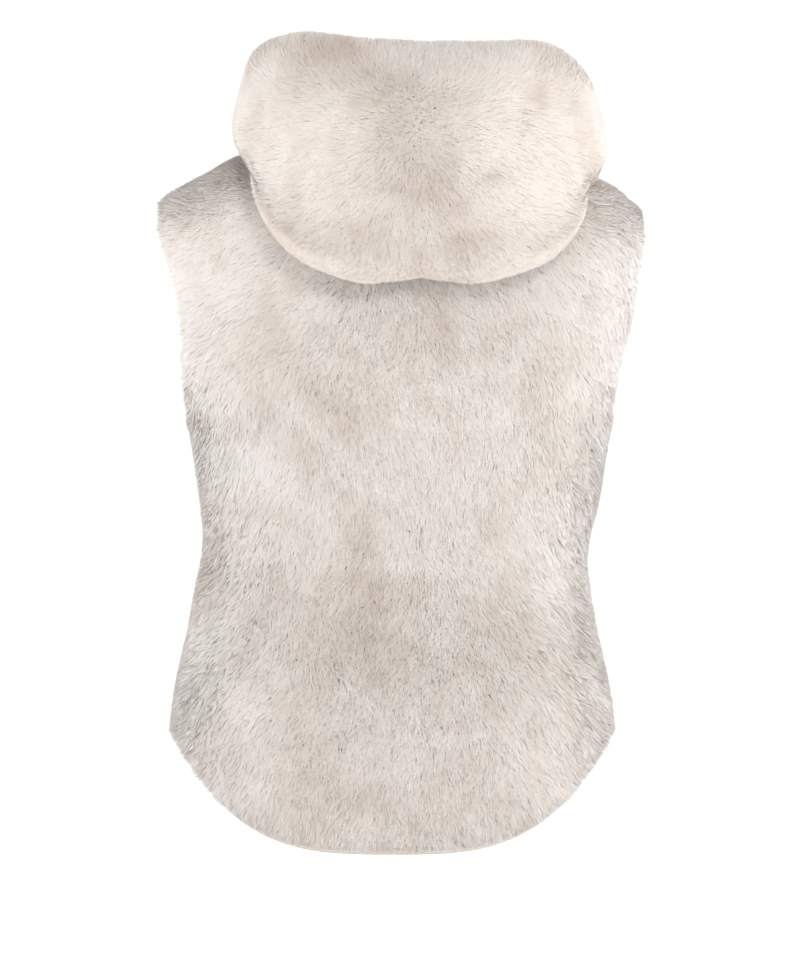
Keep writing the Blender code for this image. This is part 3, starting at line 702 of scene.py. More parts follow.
# The hair: its size, how high it stands in the wall, and how much of it varies
HAIR_LENGTH = 0.0135
HAIR_WIDTH = 0.00068
WIDTH_RANGE = (0.75, 1.3)
LENGTH_VARIES = 0.10
LONGEST = 1.35
STANDING = 0.94
STANDING_RANDOM = 0.040
FALLEN_SHARE = 0.10
FALLEN_RANGE = (0.75, 0.97)
HEIGHT_RANGE = (0.06, 1.06)
LEAST_LEAN = 0.30
ROOT_IN_CLOTH = 0.6
HIDDEN_ROOT = 0.45
HIDDEN_SHARE = 0.25
FACING_RANDOM = 0.55
BLADE_SHARE = 0.10
LEAN_SHARE = 0.10

# The hair near a free edge: the band's width, how much denser it is there, how far it
# turns out over the edge, and how much of it is short
EDGE_BAND = 0.010
EDGE_DENSER = 1.2
EDGE_SPLAY = 0.5
EDGE_OUT = 1.6
EDGE_SHORT = 0.6
SHORT_RANGE = (0.1, 0.95)

# The lie of the hair
HOOD_NAP_CENTRE = (-0.019, 0.200, 0.000)
HOOD_SPREAD = 0.055
HOOD_DRIFT = (0.0, 0.0, -0.35)
SWIRL_RANDOM = 0.36

# Layers of soft noise: how strong, the size of the lumps, and a seed
Layer = namedtuple("Layer", "strength size seed")
SWIRLS = [Layer(0.40, 0.060, 1), Layer(0.22, 0.024, 2), Layer(0.14, 0.0090, 3)]
LOCKS = Layer(0.025, 0.0055, 4)
TUFTS = Layer(0.030, 0.011, 5)
CLOUDS = [Layer(1.0, 0.040, 6), Layer(0.9, 0.017, 7)]
SPECKS = Layer(0.10, 0.0070, 8)
TIP_SHIFTS = [Layer(0.0006, 0.0070, 21), Layer(0.0006, 0.0070, 31)]
BENDS = [Layer(0.012, 0.022, 41), Layer(0.012, 0.022, 42), Layer(0.012, 0.022, 43)]

# The tone of the hair, from 0 (dark) to 1 (light)
TONE_MIDDLE = 0.56
TONE_CLOUDS = 0.15
CLOUD_EDGE = 1.8
CLOUD_FLATTEN = 0.6
TONE_LOCKS = 0.05
TONE_RANDOM = 0.06
TONE_RANGE = (0.02, 0.98)
# Painted shade: the hood's fold, where it rolls under, drawn darker, and the whole hood a little
# darker
FOLD_SHADE = 0.28
HOOD_SHADE = 0.12
# Painted light: the body's sides drawn lighter
SIDE_PAINTED_LIGHT = 0.20

# A free edge of a grid: the side that it is, how many of the part's points along it, and
# how far back from the solid's edge its pile and its cloth end
Edge = namedtuple("Edge", "axis end free pile cloth")
ALL = 1000

# The hair of each panel: how many in each of its pieces, and the seed of their draw
Pile = namedtuple("Pile", "name pieces hairs seed")
PILES = [
    Pile("back", 3, 150000, 11),
    Pile("front_left", 1, 115000, 12),
    Pile("front_right", 1, 115000, 13),
    Pile("hood_left", 1, 137000, 14),
    Pile("hood_right", 1, 137000, 15),
]

# Where the pile is pressed, parted or creased, seen from behind: its darker spots are painted
# shade in troughs, dents and dimples, where the pile also parts on its darker roots, and its thin
# light streaks beside the creases are painted highlights on their rolls. Each has its centre,
# size along and across, turn in degrees, and how much darker (below zero) or lighter it is
Patch = namedtuple("Patch", "x z along across turn tone")
BACK_PARTINGS_AND_PAINTED_SHADING = [
    Patch(0.098, -0.160, 0.052, 0.014, 75, -0.26),
    Patch(0.058, -0.228, 0.042, 0.016, 55, -0.26),
    Patch(-0.040, -0.148, 0.028, 0.010, 80, -0.26),
    Patch(0.030, -0.380, 0.066, 0.016, 85, -0.24),
    Patch(0.016, -0.555, 0.043, 0.016, 10, -0.26),
    Patch(-0.095, -0.557, 0.012, 0.009, 0, -0.30),
    Patch(0.095, -0.290, 0.050, 0.020, 35, 0.16),
    Patch(0.120, -0.420, 0.080, 0.030, 85, 0.10),
    Patch(-0.100, -0.330, 0.090, 0.035, 80, 0.08),
    Patch(-0.020, -0.500, 0.050, 0.020, 20, 0.10),
    Patch(0.020, -0.358, 0.060, 0.005, 2, 0.18),
    Patch(0.115, -0.350, 0.030, 0.005, 2, 0.18),
]
HOOD_PARTINGS_AND_PAINTED_SHADING = [
    Patch(0.052, 0.068, 0.034, 0.009, 8, -0.48),
    Patch(0.025, 0.050, 0.011, 0.006, 0, -0.36),
    Patch(-0.114, 0.034, 0.015, 0.009, 40, -0.42),
    Patch(-0.076, -0.034, 0.008, 0.006, 0, -0.36),
    Patch(-0.012, -0.046, 0.022, 0.007, 15, -0.28),
    Patch(0.027, -0.081, 0.020, 0.009, 10, -0.32),
    Patch(-0.065, -0.084, 0.016, 0.009, -10, -0.28),
    Patch(0.070, 0.020, 0.030, 0.022, 30, 0.14),
    Patch(-0.050, 0.000, 0.035, 0.020, 60, 0.12),
    Patch(0.100, -0.040, 0.025, 0.014, 60, 0.10),
]

# Colours, as linear values, and finishes
HAIR_ROOT = (0.740, 0.668, 0.612)
HAIR_DARK = (0.620, 0.525, 0.460)
HAIR_MAIN = (0.800, 0.753, 0.712)
HAIR_LIGHT = (0.880, 0.862, 0.850)
BACKING = (0.600, 0.530, 0.460)
LINING = (0.400, 0.375, 0.330)

# Camera and studio
PIXEL = 0.00088
CENTRE_PIXEL = (398, 150)
PHOTO = (800, 960)
CAMERA_AWAY = 4.0
SENSOR = 36.0

LIGHT_TARGET = (0.0, 0.0, -0.25)
LAMPS = [
    ("key_lamp", (-0.9, 4.0, 1.25), 0.6, 54.0, (1.0, 0.99, 0.98)),
    ("left_lamp", (2.9, 1.2, -0.15), 1.2, 48.0, (1.0, 0.99, 0.98)),
    ("right_lamp", (-2.9, 1.2, -0.15), 1.2, 49.0, (1.0, 0.99, 0.98)),
    ("front_lamp", (-0.6, -3.0, 1.6), 2.0, 30.0, (1.0, 0.99, 0.98)),
]
SKY_COLOUR = (1.0, 0.99, 0.985, 1.0)
SKY_STRENGTH = 0.70
STUDIO_COLOUR = (0.93, 0.93, 0.93, 1.0)
STUDIO_GLOW = 0.46
STUDIO_WIDE = 12.0
STUDIO_BACK = 6.5
STUDIO_BEND = 1.5
STUDIO_TURNS = 16
FLOOR = -0.75

# The cut of each panel, laid flat: width, length and area
Cut = namedtuple("Cut", "width length area")

noise_table = np.random.default_rng(7).uniform(-1, 1, 4096)


def soft_noise(points, size, seed):
    """Smooth noise from -1 to 1 at many points, in lumps of a size."""
    cells = points / size
    low = np.floor(cells).astype(np.int64)
    t = cells - low
    t = t * t * (3 - 2 * t)
    total = np.zeros(len(points))
    for corner in itertools.product((0, 1), repeat=3):
        at = low + corner
        mixed = (at[:, 0] * 73856093) ^ (at[:, 1] * 19349663) ^ (at[:, 2] * 83492791)
        value = noise_table[(mixed + seed * 7919) % len(noise_table)]
        total += value * np.prod(np.where(corner, t, 1 - t), axis=1)
    return total


def layered(points, layers):
    """The sum of several layers of soft noise at many points."""
    return sum(layer.strength * soft_noise(points, layer.size, layer.seed) for layer in layers)


def unit(vectors):
    """Vectors made one long."""
    return vectors / np.maximum(np.linalg.norm(vectors, axis=-1, keepdims=True), 1e-9)


def dots(a, b):
    return np.sum(a * b, axis=-1, keepdims=True)


def finer(grid, axis):
    """A grid with more points along an axis, on smooth curves through the given ones."""
    grid = np.moveaxis(grid, axis, 0)
    steps = np.diff(grid, axis=0)
    spans = np.linalg.norm(steps, axis=-1).mean(axis=1)[:, None, None]
    slopes = steps / spans
    turned = slopes[:-1] * spans[1:] + slopes[1:] * spans[:-1]
    tangents = np.concatenate([slopes[:1], turned / (spans[:-1] + spans[1:]), slopes[-1:]])
    rows = []
    for k, span in enumerate(spans):
        for step in range(FINER):
            t = step / FINER
            leave = tangents[k] * span * t * (1 - t) ** 2
            arrive = tangents[k + 1] * span * t * t * (1 - t)
            rows.append(grid[k] + steps[k] * t * t * (3 - 2 * t) + leave - arrive)
    rows.append(grid[-1])
    return np.moveaxis(np.array(rows), 0, axis)


def pulled_in(grid, edge, pull):
    """Moves a free edge of a grid back from where the solid ends."""
    run = np.moveaxis(grid, edge.axis, 0)
    run = (run if edge.end == "last" else run[::-1]).copy()
    step = run[-2] - run[-1]
    length = np.linalg.norm(step, axis=-1, keepdims=True)
    free = (np.arange(run.shape[1]) < edge.free)[:, None]
    run[-1] += step * np.minimum(pull / length, 0.9) * free
    run = run if edge.end == "last" else run[::-1]
    return np.moveaxis(run, 0, edge.axis)


def smooth_wall(outer, inner, edges):
    """A wall's two grids, leaned as the garment hangs, finer, with its free edges pulled in:
    first for its pile, then for its cloth."""
    walls = []
    for kind in ("pile", "cloth"):
        sides = []
        for grid in (outer, inner):
            points = np.array([[lean(point) for point in row] for row in grid])
            for edge in edges:
                points = pulled_in(points, edge, getattr(edge, kind))
            sides.append(finer(finer(points, 0), 1))
        walls.append(sides)
    return walls


def grid_slopes(grid):
    """How a grid runs at each of its points, per step down it and per step across it."""
    return np.gradient(grid, axis=0), np.gradient(grid, axis=1)


def face_directions(outer, inner):
    """The outward direction of the pile's surface at each point of a wall."""
    down, across = grid_slopes(outer)
    normals = unit(np.cross(down, across))
    wrong = np.sum(normals * (outer - inner), axis=-1) < 0
    normals[wrong] *= -1
    return normals


def make_cloth(name, outer, inner, materials):
    """The cloth of a panel: a closed thin sheet with backing outside and lining inside."""
    thick = np.linalg.norm(outer - inner, axis=-1, keepdims=True)
    top = inner + (outer - inner) * np.minimum(CLOTH / thick, 0.5)
    rows, columns = top.shape[:2]
    number = np.arange(rows * columns).reshape(rows, columns)
    under = number + rows * columns
    quads = []
    for sheet in (number, under):
        quads.append(
            np.stack([sheet[:-1, :-1], sheet[1:, :-1], sheet[1:, 1:], sheet[:-1, 1:]], axis=-1)
        )
    loop = np.concatenate(
        [number[0, :-1], number[:-1, -1], number[-1, :0:-1], number[:0:-1, 0]]
    )
    after = np.roll(loop, -1)
    rim = np.stack([loop, after, after + rows * columns, loop + rows * columns], axis=-1)
    faces = [tuple(map(int, face)) for quad in quads for face in quad.reshape(-1, 4)]
    faces += [tuple(map(int, face)) for face in rim]
    verts = np.concatenate([top.reshape(-1, 3), inner.reshape(-1, 3)])
    mesh = bpy.data.meshes.new(name)
    mesh.from_pydata(verts.tolist(), [], faces)
    u, v = np.meshgrid(np.linspace(0, 1, columns), np.linspace(0, HALF_MAP, rows))
    halves = [np.stack([u, v + start], axis=-1).reshape(-1, 2) for start in (0.0, SECOND_MAP)]
    places = np.concatenate(halves)
    layer = mesh.uv_layers.new(name="OFBake")
    corners = np.empty(len(mesh.loops), dtype=np.int32)
    mesh.loops.foreach_get("vertex_index", corners)
    layer.uv.foreach_set("vector", places[corners].ravel())
    for material in materials:
        mesh.materials.append(material)
    first_inner = (rows - 1) * (columns - 1)
    slots = np.zeros(len(mesh.polygons), dtype=np.int32)
    slots[first_inner:] = 1
    mesh.polygons.foreach_set("material_index", slots)
    repaired = bmesh.new()
    repaired.from_mesh(mesh)
    bmesh.ops.recalc_face_normals(repaired, faces=repaired.faces)
    repaired.to_mesh(mesh)
    repaired.free()
    mesh.shade_smooth()
    return add_object(name, mesh)


def partings_and_painted_shading(painted_shading_and_partings, x, z):
    """How much darker or lighter the pile is at places seen from behind: painted shade in its
    troughs, dents and dimples, where it also parts, and painted highlights beside the creases.
    """
    total = np.zeros(len(x))
    for patch in painted_shading_and_partings:
        turn = math.radians(patch.turn)
        along = (x - patch.x) * math.cos(turn) + (z - patch.z) * math.sin(turn)
        across = (z - patch.z) * math.cos(turn) - (x - patch.x) * math.sin(turn)
        total += patch.tone * np.exp(-((along / patch.along) ** 2) - (across / patch.across) ** 2)
    return total


def ease_many(low, high, values):
    share = np.clip((values - low) / (high - low), 0, 1)
    return share * share * (3 - 2 * share)


def body_nap(points):
    """The way the hair lies on the body: down at the middle, and outward at the sides.

    A lie shorter than 1 stands for hair that points more ways. With it comes how much darker
    the pile is drawn: below zero at the body's sides, where painted light makes it lighter.
    """
    x, _, z = points.T
    outward = np.clip(x / 0.21, -1, 1) * (0.25 + 1.1 * ease_many(-0.30, -0.03, z))
    over = 0.5 * ease_many(-0.12, -0.02, z) + 0.45 * ease_many(0.09, 0.17, np.abs(x))
    over *= np.sign(points[:, 1])
    lie = np.stack([outward, over, -np.ones(len(x))], axis=-1)
    return lie, -SIDE_PAINTED_LIGHT * ease_many(0.10, 0.18, np.abs(x))


def hood_marks(rows):
    """The place along the hood's path that belongs to a row of its grid."""
    marks = path_marks()
    return np.interp(rows, np.arange(len(marks)), marks)


def hood_nap(points, along, mark):
    """The way the hair lies on the hood: away from its middle, round under its fold and
    over its turned edge. With it comes painted shade: the whole hood drawn darker, and its fold
    darker still."""
    spread = (points - np.array(HOOD_NAP_CENTRE)) / HOOD_SPREAD + np.array(HOOD_DRIFT)
    spread = unit(spread) * np.minimum(np.linalg.norm(spread, axis=-1, keepdims=True), 1.0)
    under = (1 - ease_many(FOOT - 3, FOLD_END - 1, mark))[:, None]
    fold = (1 - ease_many(FOLD_END - 1, FOLD_END + 1, mark))[:, None]
    over = ease_many(RIM - 2, RIM - 1, mark)[:, None]
    lie = spread * (1 - under) * (1 - over) - along * np.maximum(under, 0.6 * fold) + along * over
    return lie, HOOD_SHADE + FOLD_SHADE * fold[:, 0]


def draw_places(outer, weights, count, rng):
    """Random places on a grid, even over its area: row, column, as decimals."""
    down, across = grid_slopes(outer)
    area = np.linalg.norm(np.cross(down, across), axis=-1)
    cell = (area[:-1, :-1] + area[1:, 1:]) * (weights[:-1, :-1] + weights[1:, 1:])
    total = np.cumsum(cell.ravel())
    picks = (np.arange(count) + rng.random(count)) / count * total[-1]
    chosen = np.minimum(np.searchsorted(total, picks), cell.size - 1)
    rows, columns = np.divmod(chosen, cell.shape[1])
    return rows + rng.random(count), columns + rng.random(count)


def read_grid(grid, rows, columns):
    """A grid's values between its points, and on past its edges in a straight line."""
    i = np.clip(np.floor(rows).astype(int), 0, grid.shape[0] - 2)
    j = np.clip(np.floor(columns).astype(int), 0, grid.shape[1] - 2)
    u = (rows - i)[:, None]
    v = (columns - j)[:, None]
    upper = grid[i, j] * (1 - v) + grid[i, j + 1] * v
    lower = grid[i + 1, j] * (1 - v) + grid[i + 1, j + 1] * v
    return upper * (1 - u) + lower * u


def reach_past(edges, axis, end, along):
    """How far hair may pass a side of a grid, at places along that side."""
    reach = np.full(len(along), SEAM_REACH)
    for edge in edges:
        if edge.axis == axis and edge.end == end:
            reach[along < edge.free * FINER] = EDGE_REACH
    return reach


def walk_over(slopes, rows, columns, shift, edges):
    """Where a shift from places on a grid ends, as row and column, in a few short steps."""
    reach = [
        [reach_past(edges, axis, end, along) for end in ("first", "last")]
        for axis, along in ((0, columns), (1, rows))
    ]
    for _ in range(WALK_STEPS):
        down = read_grid(slopes[0], rows, columns)
        across = read_grid(slopes[1], rows, columns)
        a = dots(down, down)[:, 0]
        b = dots(down, across)[:, 0]
        c = dots(across, across)[:, 0]
        p = dots(shift, down)[:, 0] / WALK_STEPS
        q = dots(shift, across)[:, 0] / WALK_STEPS
        space = np.maximum(a * c - b * b, 1e-14)
        rows = rows + (c * p - b * q) / space
        columns = columns + (a * q - b * p) / space
        high = slopes[0].shape[0] - 1
        wide = slopes[0].shape[1] - 1
        rows = np.clip(rows, -reach[0][0] / np.sqrt(a), high + reach[0][1] / np.sqrt(a))
        columns = np.clip(columns, -reach[1][0] / np.sqrt(c), wide + reach[1][1] / np.sqrt(c))
    return rows, columns


def edge_distance(grid, edges):
    """For each point, its distance to the nearest free edge and the way out over it."""
    distance = np.full(grid.shape[:2], 1.0)
    out = np.zeros(grid.shape)
    for edge in edges:
        run = np.moveaxis(grid, edge.axis, 0)
        run = run if edge.end == "last" else run[::-1]
        steps = np.linalg.norm(np.diff(run, axis=0), axis=-1)
        left = np.concatenate([np.cumsum(steps[::-1], axis=0)[::-1], np.zeros((1, run.shape[1]))])
        left[:, np.arange(run.shape[1]) >= edge.free * FINER] = 1.0
        way = unit(np.gradient(run, axis=0))
        if edge.end == "first":
            left = left[::-1]
            way = way[::-1]
        left = np.moveaxis(left, 0, edge.axis)
        way = np.moveaxis(way, 0, edge.axis)
        nearer = left < distance
        distance[nearer] = left[nearer]
        out[nearer] = way[nearer]
    return distance, out


def hair_lie(way, surface, normals, near, out, rng):
    """Which way each hair lies: its nap, with swirls, and turned out over a free edge."""
    count = len(way)
    mixed = 1 - np.minimum(np.linalg.norm(way, axis=-1, keepdims=True), 1.0)
    way = unit(way + mixed * rng.standard_normal((count, 3)))
    side = np.cross(normals, way)
    swirl = layered(surface, SWIRLS) + SWIRL_RANDOM * rng.standard_normal(count)
    way = unit(way + side * swirl[:, None])
    splay = near * EDGE_SPLAY * rng.random((count, 1))
    way = unit(way * (1 - splay) + out * splay * EDGE_OUT)
    return unit(way - normals * dots(way, normals))


def hair_heights(lock, tuft, near, rng):
    """How high each hair stands, as a share of the wall: most nearly up to its outer face,
    some fallen, and many short ones at a free edge."""
    count = len(lock)
    height = STANDING + LOCKS.strength * lock + TUFTS.strength * tuft
    height += STANDING_RANDOM * rng.standard_normal(count)
    fallen = rng.random(count) < FALLEN_SHARE
    height = np.where(fallen, height * rng.uniform(*FALLEN_RANGE, count), height)
    low = rng.random(count) < near[:, 0] * EDGE_SHORT
    height = np.where(low, rng.uniform(*SHORT_RANGE, count), height)
    return np.clip(height, *HEIGHT_RANGE)


def hair_tone(surface, painted_shading_and_partings, lock, shade, rng):
    """How dark or light each hair is: soft clouds and specks of its own tone, the named patches
    of painted shade and light, and the nap's painted shade on the hood and painted light at the
    body's sides.
    """
    x, _, z = surface.T
    drawn = surface * np.array([1.0, 1.0, CLOUD_FLATTEN])
    drawn = drawn + np.stack([layered(drawn, [bend]) for bend in BENDS], axis=-1)
    tone = TONE_MIDDLE + TONE_CLOUDS * np.tanh(CLOUD_EDGE * layered(drawn, CLOUDS))
    tone += layered(drawn, [SPECKS]) + partings_and_painted_shading(painted_shading_and_partings, x, z) + TONE_LOCKS * lock
    tone += TONE_RANDOM * rng.standard_normal(len(lock)) - shade
    return np.clip(tone, *TONE_RANGE)


def hair_blades(roots, tips, normals, rng):
    """Each hair as one tapered blade: its three corners, and its shading direction."""
    count = len(roots)
    reach = tips - roots
    far = np.linalg.norm(reach, axis=-1, keepdims=True)
    tips = roots + reach * np.minimum(LONGEST * HAIR_LENGTH / far, 1.0)
    facing = unit(normals + FACING_RANDOM * rng.standard_normal((count, 3)))
    width = unit(np.cross(tips - roots, facing))
    half = (HAIR_WIDTH / 2 * rng.uniform(*WIDTH_RANGE, count))[:, None]
    points = np.stack([roots - width * half, roots + width * half, tips], axis=1)
    blade = unit(np.cross(points[:, 1] - points[:, 0], points[:, 2] - points[:, 0]))
    turned = np.sum(blade * normals, axis=-1) < 0
    points[turned] = points[turned][:, [1, 0, 2]]
    blade[turned] *= -1
    return points, unit(normals + blade * BLADE_SHARE + unit(reach) * LEAN_SHARE)


def make_pile(pile, outer, inner, painted_shading_and_partings, edges, weights, material):
    """The hair of a panel, up to its wall's outer face.

    Its lower part, which other hair hides, is left out away from the free edges.
    """
    rng = np.random.default_rng(pile.seed)
    count = pile.pieces * pile.hairs
    distance, way_out = edge_distance(outer, edges)
    weights = weights * (1 + EDGE_DENSER * np.exp(-distance / EDGE_BAND))
    rows, columns = draw_places(outer, weights, count, rng)
    normals = unit(read_grid(face_directions(outer, inner), rows, columns))
    surface = read_grid(outer, rows, columns)
    lining = read_grid(inner, rows, columns)
    thick = np.linalg.norm(surface - lining, axis=-1)
    slopes = grid_slopes(outer)
    down, across = [read_grid(slope, rows, columns) for slope in slopes]
    near = np.exp(-read_grid(distance[..., None], rows, columns) / EDGE_BAND)
    out = read_grid(way_out, rows, columns)
    # The nap comes with painted shade on the hood and its fold, and painted light at the body's
    # sides
    if pile.name.startswith("hood"):
        way, shade = hood_nap(surface, unit(down), hood_marks(rows / FINER))
    else:
        way, shade = body_nap(surface)
    way = hair_lie(way, surface, normals, near, out, rng)

    # Locks gather at their tips, and stand to different heights
    lock = soft_noise(surface, LOCKS.size, LOCKS.seed)
    tuft = soft_noise(surface, TUFTS.size, TUFTS.seed)
    height = hair_heights(lock, tuft, near, rng)
    varied = LENGTH_VARIES * rng.standard_normal(count) + LENGTH_VARIES * tuft
    length = HAIR_LENGTH * (1 + varied)
    rise = (thick - CLOTH) * height
    run = np.sqrt(np.maximum(length**2 - rise**2, (LEAST_LEAN * length) ** 2))
    shift = way * run[:, None]
    for along, layer in zip((across, down), TIP_SHIFTS):
        shift += unit(along) * layered(surface, [layer])[:, None]

    # The tip lies over the place on the grid that the hair leans to
    tip_rows, tip_columns = walk_over(slopes, rows, columns, shift, edges)
    lift = (CLOTH + rise) / thick
    tip_outer = read_grid(outer, tip_rows, tip_columns)
    tip_inner = read_grid(inner, tip_rows, tip_columns)
    tips = tip_inner + (tip_outer - tip_inner) * lift[:, None]
    start = ROOT_IN_CLOTH * CLOTH + HIDDEN_ROOT * (1 - near[:, 0]) * (thick - CLOTH)
    roots = lining + (surface - lining) * (start / thick)[:, None]
    points, shading = hair_blades(roots, tips, normals, rng)
    # The tone holds the patches' painted shade and light, and the nap's painted shade and light
    tone = hair_tone(surface, painted_shading_and_partings, lock, shade, rng)
    made = []
    share = count // pile.pieces
    for piece in range(pile.pieces):
        part = slice(piece * share, (piece + 1) * share)
        name = pile.name + "_pile" + (f"_{piece + 1}" if pile.pieces > 1 else "")
        made.append(make_blades(name, points[part], shading[part], tone[part], material))
    return made


def make_blades(name, points, shading, tone, material):
    """One mesh of single blades, its UV map holding each hair's tone and the way along it."""
    count = len(points)
    mesh = bpy.data.meshes.new(name)
    mesh.vertices.add(3 * count)
    mesh.vertices.foreach_set("co", points.astype(np.float32).ravel())
    mesh.loops.add(3 * count)
    mesh.loops.foreach_set("vertex_index", np.arange(3 * count, dtype=np.int32))
    mesh.polygons.add(count)
    mesh.polygons.foreach_set("loop_start", np.arange(0, 3 * count, 3, dtype=np.int32))
    mesh.update(calc_edges=True)
    layer = mesh.uv_layers.new(name="OFBake")
    v = np.tile([0.02, 0.02, 0.98], count)
    layer.uv.foreach_set("vector", np.stack([np.repeat(tone, 3), v], axis=-1).ravel())
    normals = mesh.attributes.new("custom_normal", "FLOAT_VECTOR", "POINT")
    normals.data.foreach_set("vector", np.repeat(shading, 3, axis=0).astype(np.float32).ravel())
    mesh.materials.append(material)
    return add_object(name, mesh)


def new_material(name):
    material = bpy.data.materials.new(name)
    material.use_nodes = True
    return material, material.node_tree.nodes, material.node_tree.links


def ramp(nodes, stops):
    """A colour ramp with a list of places and colours."""
    node = nodes.new("ShaderNodeValToRGB")
    elements = node.color_ramp.elements
    while len(elements) < len(stops):
        elements.new(0.5)
    for element, (place, colour) in zip(elements, stops):
        element.position = place
        element.color = (*colour, 1.0)
    return node


def hair_material():
    """Cream hair: a little darker at the root, with each hair's own tone to its tip."""
    material, nodes, links = new_material("faux_fur")
    shader = nodes["Principled BSDF"]
    uv = nodes.new("ShaderNodeUVMap")
    uv.uv_map = "OFBake"
    split = nodes.new("ShaderNodeSeparateXYZ")
    links.new(uv.outputs["UV"], split.inputs["Vector"])
    tone = ramp(nodes, [(0.0, HAIR_DARK), (0.55, HAIR_MAIN), (1.0, HAIR_LIGHT)])
    links.new(split.outputs["X"], tone.inputs["Fac"])
    root = ramp(nodes, [(0.0, (0, 0, 0)), (0.55, (0.75, 0.75, 0.75)), (0.9, (1, 1, 1))])
    links.new(split.outputs["Y"], root.inputs["Fac"])
    mix = nodes.new("ShaderNodeMix")
    mix.data_type = "RGBA"
    mix.inputs["A"].default_value = (*HAIR_ROOT, 1.0)
    links.new(root.outputs["Color"], mix.inputs["Factor"])
    links.new(tone.outputs["Color"], mix.inputs["B"])
    links.new(mix.outputs["Result"], shader.inputs["Base Color"])
    set_inputs(shader, {"Roughness": 0.75, "Specular IOR Level": 0.25})
    set_inputs(shader, {"Sheen Weight": 0.15, "Sheen Roughness": 0.5})
    return material


def cloth_material(name, colour, thread, sheen):
    """A fine woven or knitted cloth: threads both ways in colour and in bump."""
    material, nodes, links = new_material(name)
    shader = nodes["Principled BSDF"]
    place = nodes.new("ShaderNodeTexCoord")
    heights = []
    for direction in ("X", "Z"):
        wave = nodes.new("ShaderNodeTexWave")
        wave.bands_direction = direction
        set_inputs(wave, {"Scale": 1 / thread, "Distortion": 0.6})
        links.new(place.outputs["Object"], wave.inputs["Vector"])
        heights.append(wave.outputs["Fac"])
    joined = nodes.new("ShaderNodeMath")
    joined.operation = "MULTIPLY"
    links.new(heights[0], joined.inputs[0])
    links.new(heights[1], joined.inputs[1])
    cloud = nodes.new("ShaderNodeTexNoise")
    cloud.inputs["Scale"].default_value = 22.0
    links.new(place.outputs["Object"], cloud.inputs["Vector"])
    shade = nodes.new("ShaderNodeMath")
    shade.operation = "MULTIPLY_ADD"
    shade.inputs[1].default_value = 0.5
    links.new(joined.outputs[0], shade.inputs[0])
    links.new(cloud.outputs["Fac"], shade.inputs[2])
    darker = tuple(0.82 * value for value in colour)
    lighter = tuple(min(1.12 * value, 1.0) for value in colour)
    tones = ramp(nodes, [(0.25, darker), (1.0, lighter)])
    links.new(shade.outputs[0], tones.inputs["Fac"])
    links.new(tones.outputs["Color"], shader.inputs["Base Color"])
    bump = nodes.new("ShaderNodeBump")
    set_inputs(bump, {"Distance": 0.0002, "Strength": 0.4})
    links.new(joined.outputs[0], bump.inputs["Height"])
    links.new(bump.outputs["Normal"], shader.inputs["Normal"])
    set_inputs(shader, {"Roughness": 0.55, "Sheen Weight": sheen})
    return material


def body_walls():
    """The grids of the three body panels, with their free edges, by name."""
    left, left_inner, underarm = panel_walls(1, 1)
    right, right_inner, _ = panel_walls(1, -1)
    outer = [b[:0:-1] + a for a, b in zip(left, right)]
    inner = [b[:0:-1] + a for a, b in zip(left_inner, right_inner)]
    pulls = (EDGE_PULL, EDGE_PULL)
    hem = Edge(0, "last", ALL, HEM_PILE_PULL, HEM_CLOTH_PULL)
    edges = [hem, Edge(1, "first", underarm, *pulls), Edge(1, "last", underarm, *pulls)]
    walls = {"back": (outer, inner, edges)}
    for name, hand in (("front_left", 1), ("front_right", -1)):
        outer, inner, underarm = panel_walls(-1, hand)
        sides = [Edge(1, "first", ALL, *pulls), Edge(1, "last", underarm, *pulls)]
        walls[name] = (outer, inner, [hem] + sides)
    return walls


def add_object(name, data):
    """A new object in the scene that shows some data."""
    made = bpy.data.objects.new(name, data)
    bpy.context.scene.collection.objects.link(made)
    return made


def set_inputs(node, values):
    """Sets a shader node's own sockets by their names."""
    for name, value in values.items():
        node.inputs[name].default_value = value


def add_camera():
    x = (CENTRE_PIXEL[0] - PHOTO[0] / 2) * PIXEL
    z = (CENTRE_PIXEL[1] - PHOTO[1] / 2) * PIXEL
    data = bpy.data.cameras.new("camera")
    camera = add_object("camera", data)
    camera.location = (x, CAMERA_AWAY, z)
    camera.rotation_euler = (math.pi / 2, 0, math.pi)
    data.sensor_fit = "VERTICAL"
    data.sensor_height = SENSOR
    data.lens = SENSOR * CAMERA_AWAY / (PHOTO[1] * PIXEL)
    bpy.context.scene.camera = camera


def add_light(name, place, size, power, colour):
    """A square lamp that looks at the garment's middle."""
    data = bpy.data.lights.new(name, "AREA")
    data.size = size
    data.energy = power
    data.color = colour
    lamp = add_object(name, data)
    lamp.location = place
    aim = Vector(LIGHT_TARGET) - lamp.location
    lamp.rotation_euler = aim.to_track_quat("-Z", "Y").to_euler()


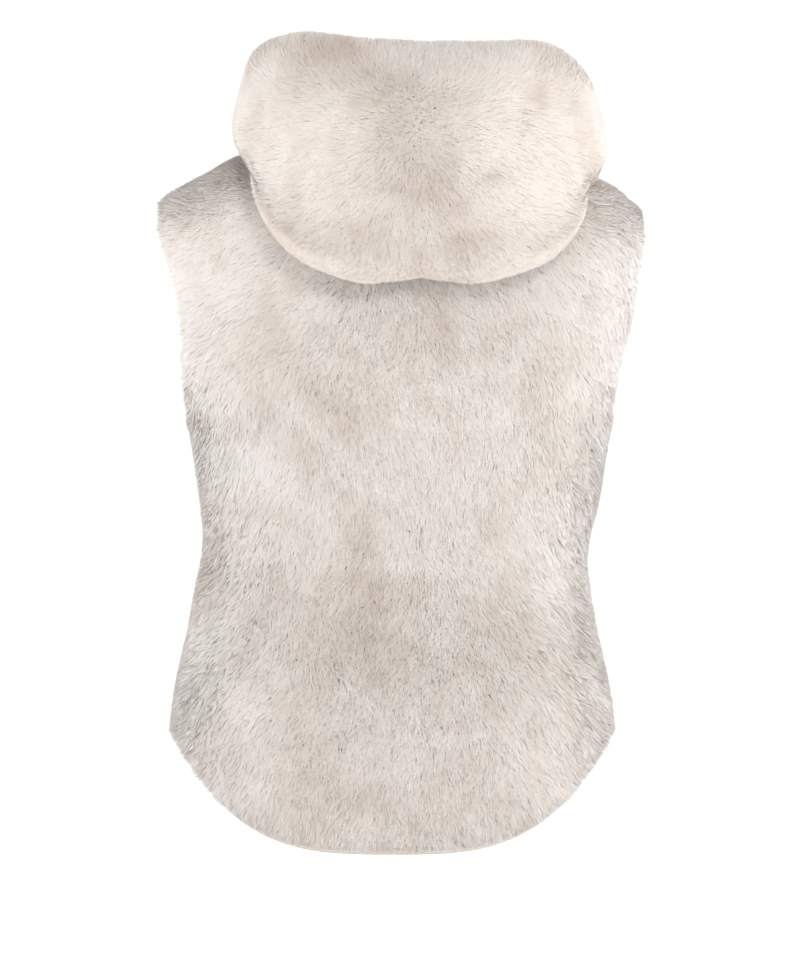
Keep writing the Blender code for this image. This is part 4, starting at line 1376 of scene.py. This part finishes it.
def add_studio():
    """A white floor that curves up into a backdrop, soft lamps and an even pale sky."""
    mesh = bpy.data.meshes.new("studio_floor")
    profile = [(STUDIO_WIDE, FLOOR)]
    for k in range(STUDIO_TURNS + 1):
        angle = math.pi / 2 * k / STUDIO_TURNS
        y = -STUDIO_BACK - STUDIO_BEND * math.sin(angle)
        profile.append((y, FLOOR + STUDIO_BEND * (1 - math.cos(angle))))
    profile.append((profile[-1][0], FLOOR + STUDIO_WIDE))
    verts = [(x, y, z) for y, z in profile for x in (-STUDIO_WIDE, STUDIO_WIDE)]
    faces = [(2 * k, 2 * k + 1, 2 * k + 3, 2 * k + 2) for k in range(len(profile) - 1)]
    mesh.from_pydata(verts, [], faces)
    mesh.shade_smooth()
    material, nodes, _ = new_material("studio_white")
    shader = nodes["Principled BSDF"]
    set_inputs(shader, {"Base Color": STUDIO_COLOUR, "Roughness": 0.9})
    set_inputs(shader, {"Emission Color": STUDIO_COLOUR, "Emission Strength": STUDIO_GLOW})
    mesh.materials.append(material)
    floor = add_object("studio_floor", mesh)
    world = bpy.data.worlds.new("studio_sky")
    world.use_nodes = True
    background = world.node_tree.nodes["Background"]
    set_inputs(background, {"Color": SKY_COLOUR, "Strength": SKY_STRENGTH})
    bpy.context.scene.world = world
    for lamp in LAMPS:
        add_light(*lamp)


def add_panel(name, pile_wall, cloth_wall, edges, cloth_materials, hair):
    """A panel's cloth and its hair, attached to the root in place of its CAD node, which is
    hidden.
    """
    # Patches of painted shade and light, with the partings, on the back and the hood; the fronts
    # get none
    painted_shading_and_partings = HOOD_PARTINGS_AND_PAINTED_SHADING if name.startswith("hood") else BACK_PARTINGS_AND_PAINTED_SHADING if name == "back" else []
    outer, inner = pile_wall
    thinned = [grid[::CLOTH_STRIDE, ::CLOTH_STRIDE] for grid in cloth_wall]
    cloth = make_cloth(name + "_cloth", *thinned, cloth_materials)
    pile = next(pile for pile in PILES if pile.name == name)
    weights = np.ones(outer.shape[:2])
    if name.startswith("hood"):
        marks = hood_marks(np.arange(outer.shape[0]) / FINER)
        under = 1 - ease_many(FOOT - 1, FOLD_END, marks)
        weights *= (1 - (1 - HIDDEN_SHARE) * under)[:, None]
    pieces = make_pile(pile, outer, inner, painted_shading_and_partings, edges, weights, hair)
    for piece in [cloth] + pieces:
        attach(piece, "root")
        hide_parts(name)


def main():
    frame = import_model()
    hair = hair_material()
    cloths = [
        cloth_material("fur_backing", BACKING, 0.0011, 0.0),
        cloth_material("lining", LINING, 0.0006, 0.3),
    ]
    walls = body_walls()
    left = panel_walls(1, 1)
    front = panel_walls(-1, 1)
    stations = hood_stations((left[0][0], left[1][0]), (front[0][0], front[1][0]))
    for name, hand in (("hood_left", 1), ("hood_right", -1)):
        turned = Edge(0, "last", ALL, EDGE_PULL, EDGE_PULL)
        walls[name] = (*hood_walls(stations, hand), [turned])
    for name in frame["nodes"]:
        outer, inner, edges = walls[name]
        pile_wall, cloth_wall = smooth_wall(outer, inner, edges)
        add_panel(name, pile_wall, cloth_wall, edges, cloths, hair)
    add_camera()
    add_studio()
    bpy.context.scene.view_settings.view_transform = "Standard"


main()
